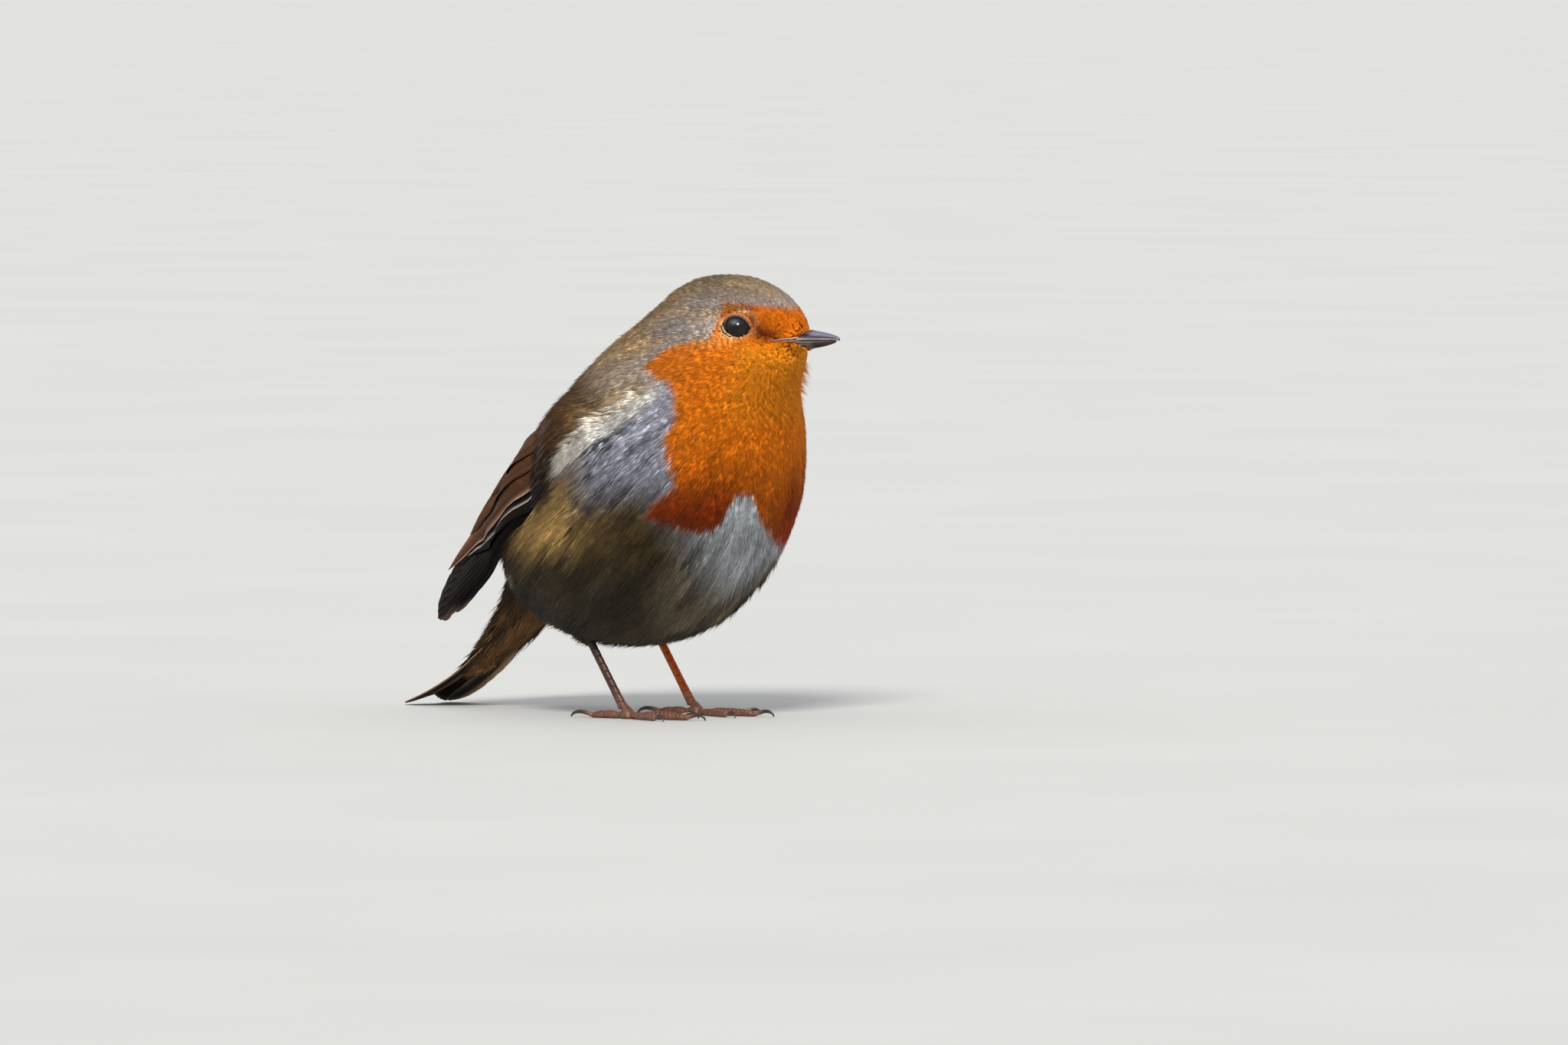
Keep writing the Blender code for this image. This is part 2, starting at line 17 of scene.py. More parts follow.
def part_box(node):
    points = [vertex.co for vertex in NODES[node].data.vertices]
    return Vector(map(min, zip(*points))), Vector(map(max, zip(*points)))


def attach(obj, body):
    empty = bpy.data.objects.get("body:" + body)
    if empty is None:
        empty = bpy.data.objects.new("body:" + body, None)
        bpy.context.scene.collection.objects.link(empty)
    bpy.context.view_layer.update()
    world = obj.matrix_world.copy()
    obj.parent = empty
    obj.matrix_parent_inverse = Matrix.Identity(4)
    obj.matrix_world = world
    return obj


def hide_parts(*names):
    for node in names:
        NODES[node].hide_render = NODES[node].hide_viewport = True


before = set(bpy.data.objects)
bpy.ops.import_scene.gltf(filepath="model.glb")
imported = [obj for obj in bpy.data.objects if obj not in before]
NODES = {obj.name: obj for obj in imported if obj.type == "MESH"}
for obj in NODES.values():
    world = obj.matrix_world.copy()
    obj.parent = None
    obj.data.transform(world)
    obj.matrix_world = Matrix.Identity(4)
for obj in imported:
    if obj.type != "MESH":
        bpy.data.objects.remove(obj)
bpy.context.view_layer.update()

SEED = 20

MM = 0.001
BILL_TIP_X = 47.49
ORIGIN = np.array([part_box("bill_upper")[1].x / MM - BILL_TIP_X, 0.0, 0.0])

SIDES = {"left": 1, "right": -1}
TOES = ("hallux", "inner", "middle", "outer")

# The head is turned a little to the bird's left. The turn grows along the neck.
HEAD_TURN = math.radians(5)
NECK_PIVOT = np.array([12.0, 0.0, 0.0])
TURN_AXIS = np.array([0.53, 0.0, 0.848])
TURN_START, TURN_END = 62.8, 82.9

GAPE_Z = 78.9
BILL_BASE = np.array([36.0, 0.0, 79.4])
VENT = np.array([-58.0, 0.0, 9.0])
TAIL_WAY = np.array([-0.773, 0.0, -0.635])

# Folded wing in side view: s runs from the bend to the tip, t across it, up.
WING_BEND = np.array([7.0, 0.0, 60.5])
WING_TIP = np.array([-55.0, 0.0, 19.2])
WING_LENGTH = float(np.linalg.norm(WING_TIP - WING_BEND))
WING_ALONG = (WING_TIP - WING_BEND) / WING_LENGTH
WING_ACROSS = np.array([WING_ALONG[2], 0.0, -WING_ALONG[0]])

WING_SWELL = np.array([-17.0, 23.0, 56.5])

rng = np.random.default_rng(SEED)


# ---- numbers and places


def to_frame(points):
    return (np.asarray(points, float) + ORIGIN) * MM


def from_frame(points):
    return np.asarray(points, float) / MM - ORIGIN


def unit(vectors):
    return vectors / (np.linalg.norm(vectors, axis=-1, keepdims=True) + 1e-12)


def dot(a, b):
    return np.sum(a * b, axis=-1, keepdims=True)


def slimmed(points):
    """Points of the body, drawn in a little where the wing's base swells it too far."""
    sign = np.sign(points[:, 1])
    folded = np.stack([points[:, 0], np.abs(points[:, 1]), points[:, 2]], axis=1)
    share = 2.2 * bump(np.linalg.norm(folded - WING_SWELL, axis=1), 0, 9.0)
    return points + np.stack([0.65 * share, -0.75 * share * sign, 0 * share], axis=1)


def eased(values, start, end):
    """0 before start, 1 after end, and a smooth rise between them."""
    t = np.clip((np.asarray(values, float) - start) / (end - start), 0, 1)
    return t * t * (3 - 2 * t)


def bump(values, middle, width):
    """1 at the middle, with a smooth fall to 0 on both sides."""
    return np.exp(-(((values - middle) / width) ** 2))


def mixed(a, b, share):
    """a where the share is 0, b where it is 1, and a mixture between."""
    share = np.asarray(share)[..., None]
    return np.asarray(a) * (1 - share) + np.asarray(b) * share


def circle(count):
    """Angles once round."""
    return np.linspace(0, 2 * np.pi, count, endpoint=False)


def turned(points, sign=1.0):
    """Points of the head and neck, moved with the head's turn, or back with a sign of -1."""
    points = np.asarray(points, float)
    angle = sign * HEAD_TURN * eased(points @ TURN_AXIS, TURN_START, TURN_END)
    off = points - NECK_PIVOT
    moved = off.copy()
    moved[..., 0] = off[..., 0] * np.cos(angle) - off[..., 1] * np.sin(angle)
    moved[..., 1] = off[..., 0] * np.sin(angle) + off[..., 1] * np.cos(angle)
    return moved + NECK_PIVOT


BILL_SOURCE = turned(BILL_BASE)


def from_bill(points):
    """How far points of the body are from the bill's base."""
    return np.linalg.norm(turned(points, -1) - BILL_BASE, axis=1)


def rolled(vectors, axes, angles):
    """Vectors turned round unit axes at right angles to them."""
    c, s = np.cos(angles)[..., None], np.sin(angles)[..., None]
    return vectors * c + np.cross(axes, vectors) * s


# ---- meshes


def linked(name, data):
    made = bpy.data.objects.new(name, data)
    bpy.context.scene.collection.objects.link(made)
    return made


def new_mesh(name, points, faces, colours, maps=None):
    """A smooth mesh object. points are in millimetres, faces is a list of arrays of 3 or 4
    columns, colours are for each point, and maps hold a UV pair for each point or corner."""
    mesh = bpy.data.meshes.new(name)
    mesh.vertices.add(len(points))
    mesh.vertices.foreach_set("co", to_frame(points).astype(np.float32).ravel())
    loops = np.concatenate([f.ravel() for f in faces]).astype(np.int32)
    sizes = np.concatenate([np.full(len(f), f.shape[1]) for f in faces])
    starts = np.concatenate([[0], np.cumsum(sizes)[:-1]]).astype(np.int32)
    mesh.loops.add(len(loops))
    mesh.loops.foreach_set("vertex_index", loops)
    mesh.polygons.add(len(starts))
    mesh.polygons.foreach_set("loop_start", starts)
    mesh.polygons.foreach_set("use_smooth", np.ones(len(starts), bool))
    mesh.update(calc_edges=True)
    layer = mesh.color_attributes.new("plumage", "FLOAT_COLOR", "POINT")
    rgba = np.hstack([colours, np.ones((len(points), 1))]).astype(np.float32)
    layer.data.foreach_set("color", rgba.ravel())
    for map_name, places in (maps or {}).items():
        layer = mesh.uv_layers.new(name=map_name)
        flat = places[loops] if len(places) == len(points) else places
        layer.data.foreach_set("uv", flat.astype(np.float32).ravel())
    return linked(name, mesh)


def settle(made, materials, replaced=()):
    """Gives a piece its materials and its body, and hides the CAD nodes that it replaces."""
    for material in materials:
        made.data.materials.append(material)
    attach(made, "root")
    if replaced:
        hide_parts(*replaced)


def ringed(rows, columns):
    """The quads of a grid that closes on itself both ways."""
    i, k = np.meshgrid(np.arange(rows), np.arange(columns), indexing="ij")
    below, beside = (i + 1) % rows * columns, (k + 1) % columns
    corners = (i * columns + k, i * columns + beside, below + beside, below + k)
    return np.stack([corner.ravel() for corner in corners], axis=1)


def lofted(rings):
    """(points, face arrays) of a closed body through rings of points, seen outward."""
    count, width = rings.shape[:2]
    points = np.concatenate([rings.reshape(-1, 3), rings[:1].mean(1), rings[-1:].mean(1)])
    quads = ringed(count, width)[:-width]
    around = np.arange(width)
    onward = (around + 1) % width
    last = (count - 1) * width
    start = np.stack([onward, around, np.full(width, count * width)], axis=1)
    end = np.stack([last + around, last + onward, np.full(width, count * width + 1)], axis=1)
    faces = [quads, np.concatenate([start, end])]
    middle = rings.mean(1)
    outward = dot(np.cross(rings[1, 1] - rings[1, 0], middle[2] - middle[1]), rings[1, 0] - middle[1])
    return points, faces if outward > 0 else [f[:, ::-1] for f in faces]


def tube(middles, across, up, wide, high, sides):
    """A closed tube along the middles, which is wide across and high upward at each of them."""
    angle = circle(sides)[None, :, None]
    wide, high = (np.asarray(size, float).reshape(-1, 1, 1) for size in (wide, high))
    middles, across, up = (np.asarray(v, float).reshape(-1, 1, 3) for v in (middles, across, up))
    return lofted(middles + across * wide * np.cos(angle) + up * high * np.sin(angle))


def joined(parts):
    """Several (points, face arrays) as one."""
    offset = 0
    points, faces = [], []
    for part, part_faces in parts:
        points.append(part)
        faces += [f + offset for f in part_faces]
        offset += len(part)
    return np.concatenate(points), faces


def read(items, key, kind, width):
    """A property of all the items, a row for each."""
    flat = np.empty(len(items) * width, kind)
    items.foreach_get(key, flat)
    return flat.reshape(-1, width)


def node_points(name):
    """A CAD node's points in millimetres."""
    return from_frame(read(NODES[name].data.vertices, "co", np.float32, 3))


def arrays_of(mesh):
    """(points in millimetres, normals, list of face arrays) of a mesh."""
    points = read(mesh.vertices, "co", np.float32, 3)
    normals = read(mesh.vertex_normals, "vector", np.float32, 3)
    sizes = read(mesh.polygons, "loop_total", np.int32, 1)[:, 0]
    starts = read(mesh.polygons, "loop_start", np.int32, 1)
    loops = read(mesh.loops, "vertex_index", np.int32, 1)[:, 0]
    faces = [loops[starts[sizes == k] + np.arange(k)] for k in np.unique(sizes)]
    return from_frame(points), normals.astype(float), faces


def triangles_of(faces):
    return np.concatenate([f[:, [0, k, k + 1]] for f in faces for k in range(1, f.shape[1] - 1)])


def merged_nodes(names, grow):
    """One bmesh of several CAD nodes, each grown a little along its normals."""
    shape = bmesh.new()
    for name in names:
        shape.from_mesh(NODES[name].data)
    bmesh.ops.remove_doubles(shape, verts=shape.verts, dist=1e-6)
    shape.normal_update()
    for vertex in shape.verts:
        vertex.co += vertex.normal * (grow * MM)
    return shape


def fused(names, grow, voxel, rounds, extra=()):
    """CAD nodes grown until they touch, joined into one closed surface and smoothed."""
    shape = merged_nodes(names, grow)
    for points, faces in extra:
        made = [shape.verts.new(tuple(co)) for co in to_frame(points)]
        for face in (f for group in faces for f in group):
            shape.faces.new([made[k] for k in face])
    mesh = bpy.data.meshes.new("fusing")
    shape.to_mesh(mesh)
    shape.free()
    made = linked("fusing", mesh)
    remesh = made.modifiers.new("remesh", "REMESH")
    remesh.mode = "VOXEL"
    remesh.voxel_size = voxel * MM
    smooth = made.modifiers.new("smooth", "SMOOTH")
    smooth.factor = 0.5
    smooth.iterations = rounds
    graph = bpy.context.evaluated_depsgraph_get()
    final = bpy.data.meshes.new_from_object(made.evaluated_get(graph))
    found = arrays_of(final)
    bpy.data.objects.remove(made)
    bpy.data.meshes.remove(mesh)
    bpy.data.meshes.remove(final)
    return found


class Surface:
    """A closed surface that answers where its nearest place is."""

    def __init__(self, points, faces):
        self.points = points
        self.triangles = triangles_of(faces)
        self.tree = BVHTree.FromPolygons(points.tolist(), self.triangles.tolist())

    def nearest(self, points):
        """(places, normals) on the surface nearest to the points."""
        found = [self.tree.find_nearest(p)[:2] for p in points.tolist()]
        places = np.array([tuple(f[0]) for f in found])
        normals = np.array([tuple(f[1]) for f in found])
        return places, normals

    def distances(self, points):
        return np.array([self.tree.find_nearest(p)[3] for p in points.tolist()])

    def scattered(self, count):
        """Random points, evenly spread over the area."""
        corners = self.points[self.triangles]
        sides = corners[:, 1] - corners[:, 0], corners[:, 2] - corners[:, 0]
        area = np.linalg.norm(np.cross(*sides), axis=1)
        pick = rng.choice(len(area), count, p=area / area.sum())
        a, b = rng.random((2, count, 1))
        swap = (a + b > 1)[:, 0]
        a[swap], b[swap] = 1 - a[swap], 1 - b[swap]
        return corners[pick, 0] + a * sides[0][pick] + b * sides[1][pick]


def thinned(points, spacing):
    """Which points to keep so that they stand about that far apart."""
    step = 1.25  # from one size of cell to the next
    level = np.round(np.log(spacing) / np.log(step))
    cell = np.floor(points / (step**level)[:, None]).astype(int)
    keys = np.concatenate([cell, level[:, None].astype(int)], axis=1)
    _, first = np.unique(keys, axis=0, return_index=True)
    return np.sort(first)


# ---- markings

CROWN = np.array([0.355, 0.246, 0.140])
BLUE_GREY = np.array([0.460, 0.468, 0.560])
HEAD_GREY = np.array([0.370, 0.330, 0.335])
NAPE = np.array([0.590, 0.390, 0.190])
MANTLE = np.array([0.275, 0.145, 0.050])
MANTLE_DARK = np.array([0.085, 0.032, 0.008])
GOLD = np.array([0.980, 0.268, 0.008])
AMBER = np.array([0.990, 0.350, 0.016])
FOREHEAD = np.array([0.560, 0.130, 0.002])
BROW = np.array([0.330, 0.110, 0.016])
RUST = np.array([0.340, 0.046, 0.002])
LORE = np.array([0.170, 0.020, 0.001])
WHITE = np.array([0.990, 0.960, 0.920])
BELLY = np.array([0.700, 0.740, 0.780])
# painted shade of the underside, not the belly's own colour
BELLY_SHADE = np.array([0.048, 0.040, 0.027])
BUFF = np.array([0.445, 0.280, 0.098])
OLIVE = np.array([0.120, 0.076, 0.026])
# painted shade under the rear of the body
VENT_SHADE = np.array([0.024, 0.014, 0.006])
SHOULDER = np.array([0.560, 0.500, 0.430])
PARTING = np.array([0.045, 0.040, 0.045])
# painted shadow of the folded wing on the breast's side
WING_SHADOW = np.array([0.012, 0.007, 0.005])
EYE_RING = np.array([0.780, 0.500, 0.270])

EYE_X, EYE_Z = 28.6, 82.2


def bib_rear(z):
    """How far back the orange reaches on either side, at each height."""
    return np.interp(
        z,
        [34, 42.6, 45.5, 49, 54, 58.4, 63, 68, 70.6, 72, 74, 76.4, 78.4, 79.6, 83, 87],
        [13, 16.6, 17.6, 22, 21, 20, 21.6, 20, 18.4, 14.4, 12.5, 14.1, 17.6, 23.6, 24.4, 23.4],
    )


def bib_low(y):
    """The lower border of the orange, with its notch a little right of the middle."""
    return np.interp(
        y,
        [-21, -17.7, -13.5, -10.4, -9.2, -7.6, -4.7, -2.4, 0, 4.6, 12.6, 18, 22],
        [42.6, 40.8, 39.3, 39.9, 43, 47, 47.4, 44.5, 41.6, 38.3, 36.2, 38.6, 42],
    )


def bib_top(x):
    return 86.9 - 0.11 * np.maximum(x - 25, 0)


def eye_reach(x, z):
    """How far from the eye's axis, in side view."""
    return np.hypot(x - EYE_X, (z - EYE_Z) * 1.05)


def flank_places(x, y, z):
    """How far to the side, how far from the flank's rear to the middle of the breast, and how
    high over the middle line of the white streak before the wing."""
    side = np.abs(y)
    slant = (x - side) * 0.7071
    return side, slant, z - 54.4 - 0.704 * (slant + 22.7)


def inside_bib(x, y, z):
    """How far inside the orange, from its rear and lower borders."""
    return np.minimum(x - bib_rear(z), z - bib_low(y))


def under_line(x):
    """The height below which the flank and belly begin, under the folded wing."""
    return 0.66 * x + 51.0 - 0.6 * np.maximum(0, -x - 24)


def markings(points):
    """The plumage's colour at points of the body."""
    x, y, z = turned(points, -1).T
    side, slant, rise = flank_places(x, y, z)
    behind = np.maximum(bib_rear(z) - x, 0)
    above = z - bib_top(x)

    # back, crown and nape
    colour = mixed(MANTLE, NAPE, eased(x + 0.8 * (z - 74), -15, 5))
    colour = mixed(colour, CROWN, eased(x * 0.55 + z * 0.84, 80, 86))
    colour = colour * (1 - 0.22 * eased(z, 81, 85) * (1 - eased(x, 17, 23)))[:, None]
    colour = mixed(colour, SHOULDER, 0.6 * bump(slant, -11, 6.32) * bump(z, 71, 4.24))
    s, _ = wing_plane(points)
    wing = eased(s, -2, 12) * eased(side, 12, 17)
    colour = mixed(colour, MANTLE_DARK, 0.75 * wing)
    colour = mixed(colour, MANTLE_DARK, 0.45 * eased(-x, 12, 30))

    # underparts, and the dark strip over them that the folded wing shades
    strip = eased(under_line(x) + 7 - z, 0, 5) * eased(side, 8, 12) * eased(-x, 4, 12)
    colour = mixed(colour, MANTLE_DARK * 0.6, 0.9 * strip)
    under = eased(under_line(x) - z, -2, 3)
    # painted light: the buff is made lighter towards the rear flank, where the folded wing shades it
    buff_painted_light = BUFF * (1 + 0.45 * eased(-slant, 17, 26))[:, None]
    below = mixed(OLIVE, buff_painted_light, eased(z, 31, 41) * eased(-slant, 8, 26))
    # painted shade: the belly is painted very dark low down, a little less dark towards its front middle
    dark = BELLY_SHADE * (1 + 2.6 * eased(slant, -6, 5))[:, None]
    below = mixed(below, dark, eased(36 - z, 0, 10) * 0.8)
    # painted shade: the pale belly is darker lower down
    pale = BELLY * (1 - 0.24 * eased(44 - z, 0, 8))[:, None]
    below = mixed(below, pale, eased(slant + 0.55 * (z - 32), 0, 16) * (0.15 + 0.85 * eased(z, 19, 34)))
    # painted shade: the belly is darker at its front middle, low down
    below = mixed(below, BELLY * 0.55, 0.8 * eased(slant, 15, 22) * eased(46 - z, 0, 8))
    # painted shade: near-black under the vent and the tail's base
    below = mixed(below, VENT_SHADE, eased(-x, 20, 32) * eased(35 - z, 0, 8))
    fluff = eased(-x, 26, 30) * eased(x, -42, -37) * eased(z, 26, 30) * eased(side, 5, 8)
    below = mixed(below, WHITE * 0.8, fluff * 0.8)
    # painted shade: the same near-black low on the rump's sides
    colour = mixed(colour, VENT_SHADE, 0.8 * eased(-x, 22, 30) * eased(34 - z, 0, 8) * eased(side, 2, 6))
    colour = mixed(colour, below, under)

    # grey side of the breast, and the white streak at the wing's front edge
    grey_side = eased(-rise, -2, 2) * eased(slant, -23, -13) * eased(z - 0.25 * slant, 45, 54)
    grey_side = grey_side * eased(side, 8, 12)
    near = bump(behind, 0, 5.0) * eased(z, 43, 50) * (1 - 0.5 * eased(z, 66, 74))
    near = near * (1 - eased(z, 81, 85))
    slate = BLUE_GREY * (1 - 0.20 * eased(56 - z, 0, 8))[:, None]
    colour = mixed(colour, slate, np.clip(np.maximum(grey_side, 0.9 * near), 0, 0.95))
    crown_band = bump(np.maximum(above, 0), 0, 2.4) * eased(x, 8, 20) * eased(above, -3, 0)
    behind_eye = bump(x, 16, 7.75) * bump(z, 81.5, 3) * eased(side, 6, 9)
    colour = mixed(colour, HEAD_GREY, np.clip(0.6 * crown_band + 0.9 * behind_eye, 0, 1))
    thick = 1.5 + 0.9 * eased(-slant, 4, 20)
    streak = bump(rise, -0.7, thick) * eased(slant, -24.5, -21.5) * (1 - eased(slant, -3, 1))
    colour = mixed(colour, WHITE, 0.97 * streak * eased(side, 11, 14))
    parting = bump(rise, -3.0, 0.45) * eased(slant, -22, -18) * (1 - eased(slant, -7, -3))
    colour = mixed(colour, PARTING, 0.8 * parting * eased(side, 11, 14))
    # painted shadow: a near-black wedge beside the white streak's lower end, where the wing shades the breast
    gap = eased(-slant, 23.0, 24.6) * eased(z, 41, 46) * (1 - eased(z, 55, 59)) * eased(side, 12, 15)
    colour = mixed(colour, WING_SHADOW, 0.85 * gap)

    # the orange face, throat and breast
    edge = np.minimum(inside_bib(x, y, z), -above)
    orange = mixed(GOLD, AMBER, eased(x, 26, 31) * eased(z, 60, 68) * (1 - eased(z, 76, 79)))
    # the lower breast's deep rust is partly its own deeper hue and partly painted shade of its
    # downward-facing part
    orange = mixed(orange, RUST, eased(61 - z, 0, 18) * (1 - 0.4 * eased(slant, 12, 20)))
    orange = mixed(orange, FOREHEAD, eased(z, 79.5, 82.5))
    brow = eased(z, 83.6, 85.0) * (1 - eased(x, 28.5, 30.5))
    orange = mixed(orange, BROW, 0.85 * brow)
    # painted shade: a dark line along a crease in the plumage in front of and above the eye
    crease = bump(x + 0.50 * (z - 84.5), 30.1, 1.0) * eased(z, 79.5, 82)
    lore = bump(x, 33.6, 3) * bump(z, 80.1, 1.55)
    dark = np.clip(0.80 * crease + 0.95 * lore, 0, 1) * eased(side, 2.5, 4)
    orange = mixed(orange, LORE, dark)
    orange = mixed(orange, NAPE, 0.5 * bump(x, 21, 5.1) * bump(z, 79.2, 1.61))
    colour = mixed(colour, orange, eased(edge, -0.8, 0.8))

    pale = eased(EYE_X - x, -2.2, 1.5) * 0.7 + 0.25
    return mixed(colour, EYE_RING, bump(eye_reach(x, z), 3.0, 0.42) * eased(side, 6, 8) * pale)


def streakiness(points):
    """How much the strands differ in brightness: most on the grey side of the breast."""
    x, y, z = turned(points, -1).T
    _, slant, rise = flank_places(x, y, z)
    grey = bump(slant, -9, 11) * bump(z, 56, 9)
    belly = eased(slant, -4, 6) * (1 - eased(z, 40, 48))
    face = eased(x, 14, 22) * eased(z, 66, 74)
    white = bump(rise, -0.8, 2.4) * eased(slant, -26, -22) * (1 - eased(slant, -3, 1))
    orange = eased(inside_bib(x, y, z), 0, 2) * (1 - eased(z, 66, 74))
    return (0.17 + 0.36 * grey + 0.12 * belly - 0.05 * face - 0.07 * orange) * (1 - 0.75 * white)


def wing_plane(points):
    """(s, t) of points in the folded wing's own plane."""
    off = np.asarray(points, float) - WING_BEND
    return off @ WING_ALONG, off @ WING_ACROSS


# ---- the map for baking

SPINE = np.array(
    [(-46, 0, 14), (-31, 0, 34), (-8, 0, 44), (8, 0, 58), (15, 0, 74), (27, 0, 81.5), (48, 0, 79.5)]
)
MAP_ROUND = 0.9  # the map's width that goes once round the body


def unwrapped(points):
    """Places on an unwrap of the body: round its middle line, and along it."""
    points = np.asarray(points, float)
    best = np.full(len(points), np.inf)
    angle, reach = np.zeros(len(points)), np.zeros(len(points))
    done = 0.0
    for a, b in zip(SPINE[:-1], SPINE[1:]):
        length = np.linalg.norm(b - a)
        along = (b - a) / length
        up = np.array([-along[2], 0.0, along[0]])
        s = np.clip((points - a) @ along, 0, length)
        off = points - a - s[:, None] * along
        far = np.linalg.norm(off, axis=1)
        closer = far < best
        best = np.where(closer, far, best)
        angle = np.where(closer, np.arctan2(off[:, 1], off @ up), angle)
        reach = np.where(closer, done + s, reach)
        done += length
    return np.stack([0.05 + MAP_ROUND * (angle / (2 * np.pi) + 0.5), 0.03 + 0.94 * reach / done], axis=1)


def unwrapped_corners(points, faces):
    """The unwrap at each face's corners, where no face runs back over the seam."""
    places = unwrapped(points)
    corners = []
    for group in faces:
        u = places[group]
        crossing = (np.ptp(u[..., 0], axis=1) > 0.5)[:, None] & (u[..., 0] < 0.5)
        u[..., 0] += MAP_ROUND * crossing
        corners.append(u.reshape(-1, 2))
    return np.concatenate(corners)


# ---- materials


def new_material(name, colour, roughness, **sockets):
    """(material, node tree, shader), with sockets named as on the shader, but for the spaces."""
    material = bpy.data.materials.new(name)
    material.use_nodes = True
    shader = material.node_tree.nodes["Principled BSDF"]
    shader.inputs["Base Color"].default_value = (*colour, 1)
    shader.inputs["Roughness"].default_value = roughness
    for socket, value in sockets.items():
        shader.inputs[socket.replace("_", " ")].default_value = value
    return material, material.node_tree, shader


def node(tree, kind, inputs=None, **values):
    made = tree.nodes.new(kind)
    for key, value in values.items():
        setattr(made, key, value)
    for key, value in (inputs or {}).items():
        if isinstance(value, bpy.types.NodeSocket):
            tree.links.new(value, made.inputs[key])
        else:
            made.inputs[key].default_value = value
    return made


def noise(tree, scale, detail=3.0, roughness=0.5):
    place = node(tree, "ShaderNodeTexCoord")
    inputs = {"Vector": place.outputs["Object"], "Scale": scale, "Detail": detail, "Roughness": roughness}
    return node(tree, "ShaderNodeTexNoise", inputs).outputs["Fac"]


def spread(tree, value, low, high):
    inputs = {"Value": value, "From Min": 0.3, "From Max": 0.7, "To Min": low, "To Max": high}
    return node(tree, "ShaderNodeMapRange", inputs).outputs["Result"]


def blend(tree, kind, share, a, b):
    made = node(tree, "ShaderNodeMix", {0: share, 6: a, 7: b}, data_type="RGBA", blend_type=kind)
    return made.outputs[2]


def bumped(tree, shader, height, strength, distance):
    inputs = {"Height": height, "Strength": strength, "Distance": distance}
    made = node(tree, "ShaderNodeBump", inputs)
    tree.links.new(made.outputs["Normal"], shader.inputs["Normal"])


def painted(tree, shader, texture, low, high):
    """The colours that the mesh holds, made darker and lighter by a texture."""
    marking = node(tree, "ShaderNodeAttribute", attribute_name="plumage").outputs["Color"]
    tone = node(tree, "ShaderNodeCombineColor", dict.fromkeys(range(3), spread(tree, texture, low, high)))
    mixture = blend(tree, "MULTIPLY", 1.0, marking, tone.outputs[0])
    tree.links.new(mixture, shader.inputs["Base Color"])


def plumage_material():
    """Feathers: the markings held by the mesh, broken by a fine mottle."""
    sockets = {"Sheen_Weight": 0.03, "Sheen_Roughness": 0.45, "Specular_IOR_Level": 0.05}
    material, tree, shader = new_material("plumage", (0.3, 0.2, 0.1), 0.70, **sockets)
    painted(tree, shader, noise(tree, 900, 2.0), 0.82, 1.14)
    return material


def barb_place(tree, scale_across, scale_along, sweep):
    """Places on a vane that run along its barbs: fine along the shaft, long across it."""

    def counted(operation, *values):
        return node(tree, "ShaderNodeMath", dict(enumerate(values)), operation=operation).outputs[0]

    place = node(tree, "ShaderNodeUVMap", uv_map="Vane").outputs["UV"]
    parts = node(tree, "ShaderNodeSeparateXYZ", {"Vector": place}).outputs
    across = counted("ABSOLUTE", parts["X"])
    along = counted("MULTIPLY_ADD", across, -sweep, parts["Y"])
    inputs = {"X": counted("MULTIPLY", across, scale_across), "Y": counted("MULTIPLY", along, scale_along)}
    return node(tree, "ShaderNodeCombineXYZ", inputs).outputs[0]


def vane_material():
    """Flight feathers: swept barbs, with a silky bump and a faint mottle."""
    material, tree, shader = new_material("vane", (0.05, 0.03, 0.02), 0.5, Specular_IOR_Level=0.02)
    place = barb_place(tree, 0.25, 3.4, 1.5)
    barbs = node(tree, "ShaderNodeTexNoise", {"Vector": place, "Scale": 1.0, "Detail": 4.0}).outputs["Fac"]
    painted(tree, shader, barbs, 0.62, 1.38)
    bumped(tree, shader, barbs, 0.55, 0.00012)
    tree.links.new(spread(tree, barbs, 0.42, 0.60), shader.inputs["Roughness"])
    return material


def horn_material():
    """Bill and claws: polished horn with fine lengthwise growth lines."""
    sockets = {"Coat_Weight": 0.12, "Coat_Roughness": 0.10, "Specular_IOR_Level": 0.32}
    material, tree, shader = new_material("horn", (0.03, 0.03, 0.03), 0.24, **sockets)
    place = node(tree, "ShaderNodeTexCoord").outputs["Object"]
    stretched = node(tree, "ShaderNodeMapping", {"Vector": place, "Scale": (500, 2600, 2600)}).outputs[0]
    inputs = {"Vector": stretched, "Scale": 1.0, "Detail": 3.0}
    lines = node(tree, "ShaderNodeTexNoise", inputs).outputs["Fac"]
    painted(tree, shader, lines, 0.80, 1.20)
    tree.links.new(spread(tree, lines, 0.18, 0.34), shader.inputs["Roughness"])
    bumped(tree, shader, lines, 0.25, 0.00006)
    return material


def eye_material():
    """The wet eyeball, with faint veins."""
    sockets = {"Coat_Weight": 0.32, "Coat_Roughness": 0.03, "Specular_IOR_Level": 0.08}
    material, tree, shader = new_material("eyeball", (0.004, 0.003, 0.003), 0.16, **sockets)
    painted(tree, shader, noise(tree, 2600, 2.0), 0.75, 1.25)
    return material


def leg_material():
    """Shanks and toes: mottled, grainy scales with a little shine."""
    sockets = {"Coat_Weight": 0.10, "Coat_Roughness": 0.25, "Specular_IOR_Level": 0.20}
    material, tree, shader = new_material("leg_scale", (0.30, 0.13, 0.08), 0.40, **sockets)
    painted(tree, shader, noise(tree, 1500, 4.0), 0.72, 1.30)
    grain = noise(tree, 5200, 3.0)
    bumped(tree, shader, grain, 0.35, 0.00008)
    tree.links.new(spread(tree, grain, 0.32, 0.52), shader.inputs["Roughness"])
    return material


